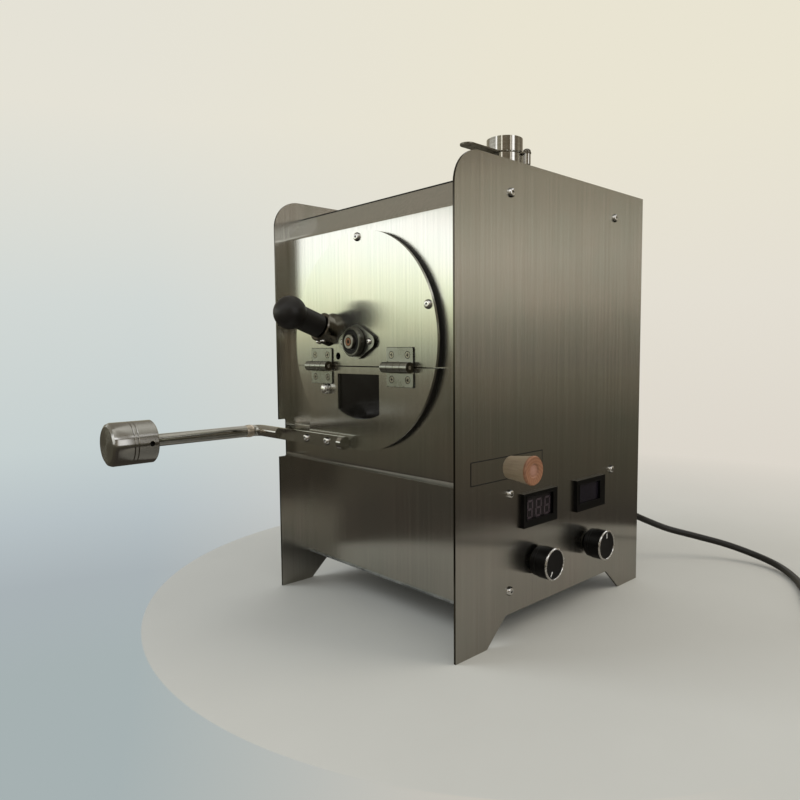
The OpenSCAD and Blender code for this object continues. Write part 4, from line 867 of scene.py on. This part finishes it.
# up is 1 for the leaves above the hinge line and -1 for those below it
def makeHingeLines(name, up, body, form):
    mesh = bmesh.new()
    line, depth, soft = form["line"], form["depth"], form["soft"]
    pin = boxMiddle("hinge_pins")
    for side in (-1, 1):
        middle = Vector((side * form["x"], form["discY"] - depth / 2, pin.z))
        reach = up * (form["leafFar"] + form["leafNear"]) / 2
        for edge in (-1, 1):
            place = middle + Vector((edge * (form["leafHalf"] + line / 2), 0, reach))
            block(mesh, place, (line, depth, form["leafFar"] - form["leafNear"]), bevel=soft)
            head = Vector((middle.x + edge * form["screwX"], form["leafY"], pin.z + up * form["screwZ"]))
            r, proud = form["headRadius"], form["headProud"]
            ring = [(r - soft, 0, 0), (r, proud, 0), (r + line, proud, 0), (r + line + soft, 0, 0)]
            spinProfile(mesh, ring, head, (0, -1, 0), 32)
            for turn in form["crossTurns"]:
                lean = Matrix.Rotation(math.radians(turn + form["crossLean"] * edge), 3, "Y")
                block(mesh, head - Vector((0, form["cross"][1] / 2, 0)), form["cross"], lean)
        place = middle + Vector((0, 0, up * (form["leafFar"] + line / 2)))
        block(mesh, place, (2 * form["leafHalf"] + 2 * line, depth, line), bevel=soft)
        seam = Vector((middle.x + up * form["seamX"], pin.y, pin.z))
        r, foot, half = form["barrelRadius"], form["seamFoot"], form["seamHalf"]
        groove = [(r - soft, -foot, 0), (r, -half, 0), (r, half, 0), (r - soft, foot, 0)]
        spinProfile(mesh, groove, seam, (1, 0, 0), 48)
    addPiece(name, mesh, body, [gasketAndShadeBlack])


# painted shade: black strips over the gap round the drawer's front and over the one in front of the top cover
frameGaps = {
    "drawerLine": 0.0008, "drawerSkin": 0.0001, "coverEdge": (0, -0.1046, 0.3748),
    "coverLine": (0.2376, 0.0010, 0.0009), "coverBevel": 0.0002,
}


def makeFrameGaps(form):
    low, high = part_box("drawer_front")
    line, skin, middle = form["drawerLine"], form["drawerSkin"], (low + high) / 2
    width, height = high.y - low.y, high.z - low.z
    mesh = bmesh.new()
    for side in (-1, 1):
        place = Vector((high.x, middle.y, middle.z + side * (height + line) / 2))
        block(mesh, place, (skin, width + 2 * line, line))
        place = Vector((high.x, middle.y + side * (width + line) / 2, middle.z))
        block(mesh, place, (skin, line, height))
    addPiece("drawerGapShade", mesh, "frame", [gasketAndShadeBlack])
    mesh = bmesh.new()
    block(mesh, form["coverEdge"], form["coverLine"], bevel=form["coverBevel"])
    addPiece("coverGapShade", mesh, "frame", [gasketAndShadeBlack])


makeHingeLines("hingeLinesUpper", 1, "frame", hingeLines)
makeHingeLines("hingeLinesLower", -1, "door", hingeLines)
makeFrameGaps(frameGaps)
print("joint lines made")


# backdrop stops are heights above the horizon, as the upward part of a direction
stageColours = {
    "table": "#bebfba",
    "shadedTableInMetal": "#8b8880",
    "roomBelow": [(0.2, "#332f2a"), (0.6, "#3e3a31"), (0.8, "#464339"), (0.92, "#585347"), (1.0, "#666053")],
    "backdropLeft": [
        (-0.40, "#a6b1b2"), (-0.30, "#a9b2b6"), (-0.22, "#b7c1c5"), (-0.13, "#c6d0d0"), (0.07, "#d2d8d5"),
        (0.31, "#e5e2d6"),
    ],
    "backdropRight": [(-0.30, "#cdc7bc"), (-0.22, "#dad4ca"), (0.07, "#e4dfd3"), (0.31, "#e9e4d2")],
    "backdropHeading": (0.68, 0.733, 0),
    "backdropTurn": (-0.35, 0.15),
}
# each fade runs from none to all between its two distances in metres; mottle is in millimetres
tableTop = {
    "size": 8.0, "centre": (0.02, 0.028, 0), "mirroredCentre": (0.04, 0.048, 0),
    "rimHeading": (0.8, 0.6, 0), "rimFade": (0.343, 0.3442), "mirroredFade": (0.327, 0.343),
    "asideFade": (0.20, -0.05), "farFade": (0.36, 0.95),
    "mottle": 111, "mottleShade": 0.97, "roomStrength": 1.75, "roomDepth": 0.35,
}


def heightRamp(tree, height, stops):
    lowest, highest = stops[0][0], stops[-1][0]
    scaled = addNode(tree, "MapRange", {"From Min": lowest, "From Max": highest}, {"Value": height})
    stops = [((place - lowest) / (highest - lowest), colour) for place, colour in stops]
    return addNode(tree, "ValToRGB", {"stops": stops}, {"Fac": scaled})


# cool on the left and low down, warm on the right, as a wall beside a window; the direction is a fixed
# one in the room, so that nothing slides with the view
def backdropColour(tree, colours, direction):
    height = addNode(tree, "SeparateXYZ", links={"Vector": direction}).outputs["Z"]
    aside = addNode(
        tree, "VectorMath", {"operation": "DOT_PRODUCT", 1: colours["backdropHeading"]}, {0: direction}
    ).outputs["Value"]
    left, right = colours["backdropTurn"]
    return addNode(
        tree, "Mix", {"data_type": "RGBA"},
        {
            0: addNode(tree, "MapRange", {"From Min": left, "From Max": right}, {"Value": aside}),
            6: heightRamp(tree, height, colours["backdropLeft"]),
            7: heightRamp(tree, height, colours["backdropRight"]),
        },
    ).outputs[2]


# pale table: metal sees it only as far as the table's rim, and in a darker colour that is painted shade; it
# fades into the backdrop
def tableMaterial(colours, top):
    material, tree = newMaterial("paleTable")
    path = addNode(tree, "LightPath")
    place = addNode(tree, "TexCoord").outputs["Object"]
    reach, mirrored = (
        addNode(tree, "VectorMath", {"operation": "DISTANCE", 1: centre}, {0: place}).outputs["Value"]
        for centre in (top["centre"], top["mirroredCentre"])
    )
    rimward = addNode(
        tree, "VectorMath", {"operation": "DOT_PRODUCT", 1: top["rimHeading"]}, {0: place}
    ).outputs["Value"]
    fades = {"rimFade": reach, "mirroredFade": mirrored, "asideFade": rimward, "farFade": reach}
    outside, beyond, aside, away = (
        addNode(tree, "MapRange", {"From Min": top[key][0], "From Max": top[key][1]}, {"Value": distance})
        for key, distance in fades.items()
    )
    rim = addNode(tree, "Math", {"operation": "MULTIPLY"}, {0: outside, 1: aside})
    far = addNode(tree, "Math", {"operation": "MAXIMUM"}, {0: rim, 1: away})
    mottle = addNode(
        tree, "MapRange",
        {"From Min": 0.3, "From Max": 0.7, "To Min": top["mottleShade"], "To Max": 1.0},
        {"Value": grain(tree, (top["mottle"],) * 3, 3, 0.5)},
    )
    # painted shade: glossy rays see the table darker
    tone = addNode(
        tree, "Mix",
        {"data_type": "RGBA", 6: hexColour(colours["table"]), 7: hexColour(colours["shadedTableInMetal"])},
        {0: path.outputs["Is Glossy Ray"]},
    ).outputs[2]
    mottled = addNode(
        tree, "Mix", {"data_type": "RGBA", "blend_type": "MULTIPLY", 0: 1.0}, {6: tone, 7: mottle}
    ).outputs[2]
    pale = addNode(tree, "BsdfPrincipled", {"Roughness": 0.6, "IOR": 1.45}, {"Base Color": mottled})
    outward = addNode(tree, "VectorMath", {"operation": "SUBTRACT", 1: cameraView["place"]}, {0: place})
    direction = addNode(tree, "VectorMath", {"operation": "NORMALIZE"}, {0: outward})
    seenColour = backdropColour(tree, colours, direction)
    backdrop = addNode(tree, "Emission", {"Strength": 1.0}, {"Color": seenColour})
    nearness = addNode(tree, "Math", {"operation": "DIVIDE", 0: top["roomDepth"]}, {1: reach})
    depth = addNode(tree, "MapRange", {"To Min": 1, "To Max": 0}, {"Value": nearness})
    below = addNode(tree, "ValToRGB", {"stops": colours["roomBelow"]}, {"Fac": depth})
    dark = addNode(tree, "Emission", {"Strength": top["roomStrength"]}, {"Color": below})
    fade = addNode(
        tree, "Math", {"operation": "MULTIPLY"}, {0: far, 1: path.outputs["Is Camera Ray"]}
    )
    glossy = addNode(
        tree, "Math", {"operation": "MULTIPLY"}, {0: beyond, 1: path.outputs["Is Glossy Ray"]}
    )
    seen = addNode(tree, "MixShader", links={0: fade, 1: pale, 2: backdrop})
    finishMaterial(tree, addNode(tree, "MixShader", links={0: glossy, 1: seen, 2: dark}))
    return material


def makeTable(colours, top):
    mesh = bmesh.new()
    bmesh.ops.create_circle(mesh, cap_ends=True, segments=96, radius=top["size"])
    floor = addObject("paleFloor", meshData("paleFloor", mesh))
    floor.data.materials.append(tableMaterial(colours, top))


makeTable(stageColours, tableTop)

# what metal sees of the room: a window and a wall by height, bright and dark bars round the compass
# where neither stands and above them, and the ceiling lamp overhead
roomLight = {
    "soft": 0.75,
    "softColour": (1, 0.99, 0.97, 1),
    "reflected": 1.75,
    "window": [
        (-0.04, "#6a6a5c"), (0.00, "#8c8e7c"), (0.025, "#acad92"), (0.045, "#c8c9ab"), (0.075, "#e2e6cb"),
        (0.11, "#f2f8e2"), (0.14, "#fbfff8"), (0.20, "#ffffff"), (0.25, "#dfe3de"), (0.30, "#8d8c80"),
    ],
    "wall": [
        (-0.04, "#57524a"), (0.01, "#6b675b"), (0.04, "#7d786b"), (0.07, "#978f81"), (0.13, "#a49e90"),
        (0.17, "#9c9788"), (0.21, "#8d8778"), (0.30, "#827b6a"),
    ],
    "windowHeading": (-0.77, -0.64, 0.0),
    "windowTurn": (-0.25, 0.55),
    "windowTop": (0.30, 0.24),
    "standing": [
        (0.03, "#000000"), (0.06, "#ffffff"), (0.185, "#ffffff"), (0.20, "#000000"), (0.598, "#000000"),
        (0.612, "#ffffff"), (0.64, "#ffffff"), (0.68, "#b4b4b4"), (0.73, "#8c8c8c"), (0.76, "#000000"),
    ],
    "bars": [
        (0.00, "#6f695c"), (0.12, "#6f695c"), (0.19, "#5f5a4d"), (0.198, "#ffffff"), (0.215, "#ffffff"),
        (0.225, "#7d7969"), (0.295, "#6f6a5c"), (0.30, "#e8e4d8"), (0.312, "#e8e4d8"), (0.32, "#5d5345"),
        (0.39, "#5a5346"), (0.45, "#4f4638"), (0.465, "#d8d2c6"), (0.478, "#6b6255"), (0.505, "#ffffff"),
        (0.53, "#ffffff"), (0.545, "#5c5447"), (0.60, "#544d41"), (0.665, "#5e5649"), (0.70, "#4e483c"),
        (0.76, "#6d6355"), (0.85, "#7d7868"),
    ],
    "overWindow": "#736e64",
    "windowSector": [
        (0.00, "#ffffff"), (0.17, "#ffffff"), (0.19, "#000000"), (0.49, "#000000"), (0.505, "#ffffff"),
        (0.56, "#ffffff"), (0.575, "#000000"), (0.88, "#000000"), (0.92, "#ffffff"),
    ],
    "overhead": [
        (0.46, "#6b665a"), (0.50, "#2f2c27"), (0.53, "#ffffff"), (0.62, "#ffffff"), (0.64, "#3a3630"),
        (0.67, "#e8e6e0"), (0.70, "#8a8780"), (0.85, "#9a9890"), (1.00, "#b5b3ac"),
    ],
    "overheadFrom": (0.44, 0.48),
}


def makeWorld(light, colours):
    world = bpy.data.worlds.new("softRoom")
    bpy.context.scene.world = world
    world.use_nodes = True
    tree = world.node_tree
    tree.nodes.clear()
    direction = addNode(tree, "TexCoord").outputs["Generated"]
    parts = addNode(tree, "SeparateXYZ", links={"Vector": direction})
    height = parts.outputs["Z"]
    towards = addNode(
        tree, "VectorMath", {"operation": "DOT_PRODUCT", 1: light["windowHeading"]}, {0: direction}
    ).outputs["Value"]
    start, end = light["windowTurn"]
    byHeight = addNode(
        tree, "Mix", {"data_type": "RGBA"},
        {
            0: addNode(tree, "MapRange", {"From Min": start, "From Max": end}, {"Value": towards}),
            6: heightRamp(tree, height, light["wall"]),
            7: heightRamp(tree, height, light["window"]),
        },
    ).outputs[2]
    heading = addNode(
        tree, "Math", {"operation": "ARCTAN2"}, {0: parts.outputs["Y"], 1: parts.outputs["X"]}
    )
    compass = addNode(tree, "MapRange", {"From Min": -math.pi, "From Max": math.pi}, {"Value": heading})
    standing, bars, sector = (
        addNode(tree, "ValToRGB", {"stops": light[key]}, {"Fac": compass})
        for key in ("standing", "bars", "windowSector")
    )
    start, end = light["windowTop"]
    under = addNode(tree, "MapRange", {"From Min": start, "From Max": end}, {"Value": height})
    stands = addNode(tree, "Math", {"operation": "MULTIPLY"}, {0: standing, 1: under})
    walls = addNode(tree, "Mix", {"data_type": "RGBA"}, {0: stands, 6: bars, 7: byHeight}).outputs[2]
    above = addNode(
        tree, "Mix", {"data_type": "RGBA", 7: hexColour(light["overWindow"])},
        {0: sector, 6: heightRamp(tree, height, light["overhead"])},
    ).outputs[2]
    start, end = light["overheadFrom"]
    upward = addNode(tree, "MapRange", {"From Min": start, "From Max": end}, {"Value": height})
    mixed = addNode(tree, "Mix", {"data_type": "RGBA"}, {0: upward, 6: walls, 7: above}).outputs[2]
    room = addNode(tree, "Background", {"Strength": light["reflected"]}, {"Color": mixed})
    soft = addNode(tree, "Background", {"Color": light["softColour"], "Strength": light["soft"]})
    backdrop = addNode(
        tree, "Background", {"Strength": 1.0}, {"Color": backdropColour(tree, colours, direction)}
    )
    path = addNode(tree, "LightPath")
    lit = addNode(tree, "MixShader", links={0: path.outputs["Is Glossy Ray"], 1: soft, 2: room})
    seen = addNode(
        tree, "Math", {"operation": "MAXIMUM"},
        {0: path.outputs["Is Camera Ray"], 1: path.outputs["Is Transmission Ray"]},
    )
    shown = addNode(tree, "MixShader", links={0: seen, 1: lit, 2: backdrop})
    addNode(tree, "OutputWorld", links={"Surface": shown})


makeWorld(roomLight, stageColours)

lamps = {
    "windowLight": {"place": (-1.1, -1.2, 1.3), "size": 1.0, "power": 14, "colour": "#f6fbff"},
    "roomLight": {"place": (1.2, 0.9, 1.4), "size": 1.2, "power": 13, "colour": "#fff4e4"},
}
lampAim = (0, 0, 0.18)


def makeLamps(lampSet, aim):
    for name, lamp in lampSet.items():
        data = bpy.data.lights.new(name, "AREA")
        data.size, data.energy, data.color = lamp["size"], lamp["power"], hexColour(lamp["colour"])[:3]
        light = addObject(name, data)
        light.visible_glossy = False  # the room's own bars and window are what metal mirrors
        light.location = lamp["place"]
        light.rotation_euler = (Vector(aim) - Vector(lamp["place"])).to_track_quat("-Z", "Y").to_euler()


makeLamps(lamps, lampAim)
bpy.context.scene.view_settings.view_transform = "Standard"
print("stage and light set")
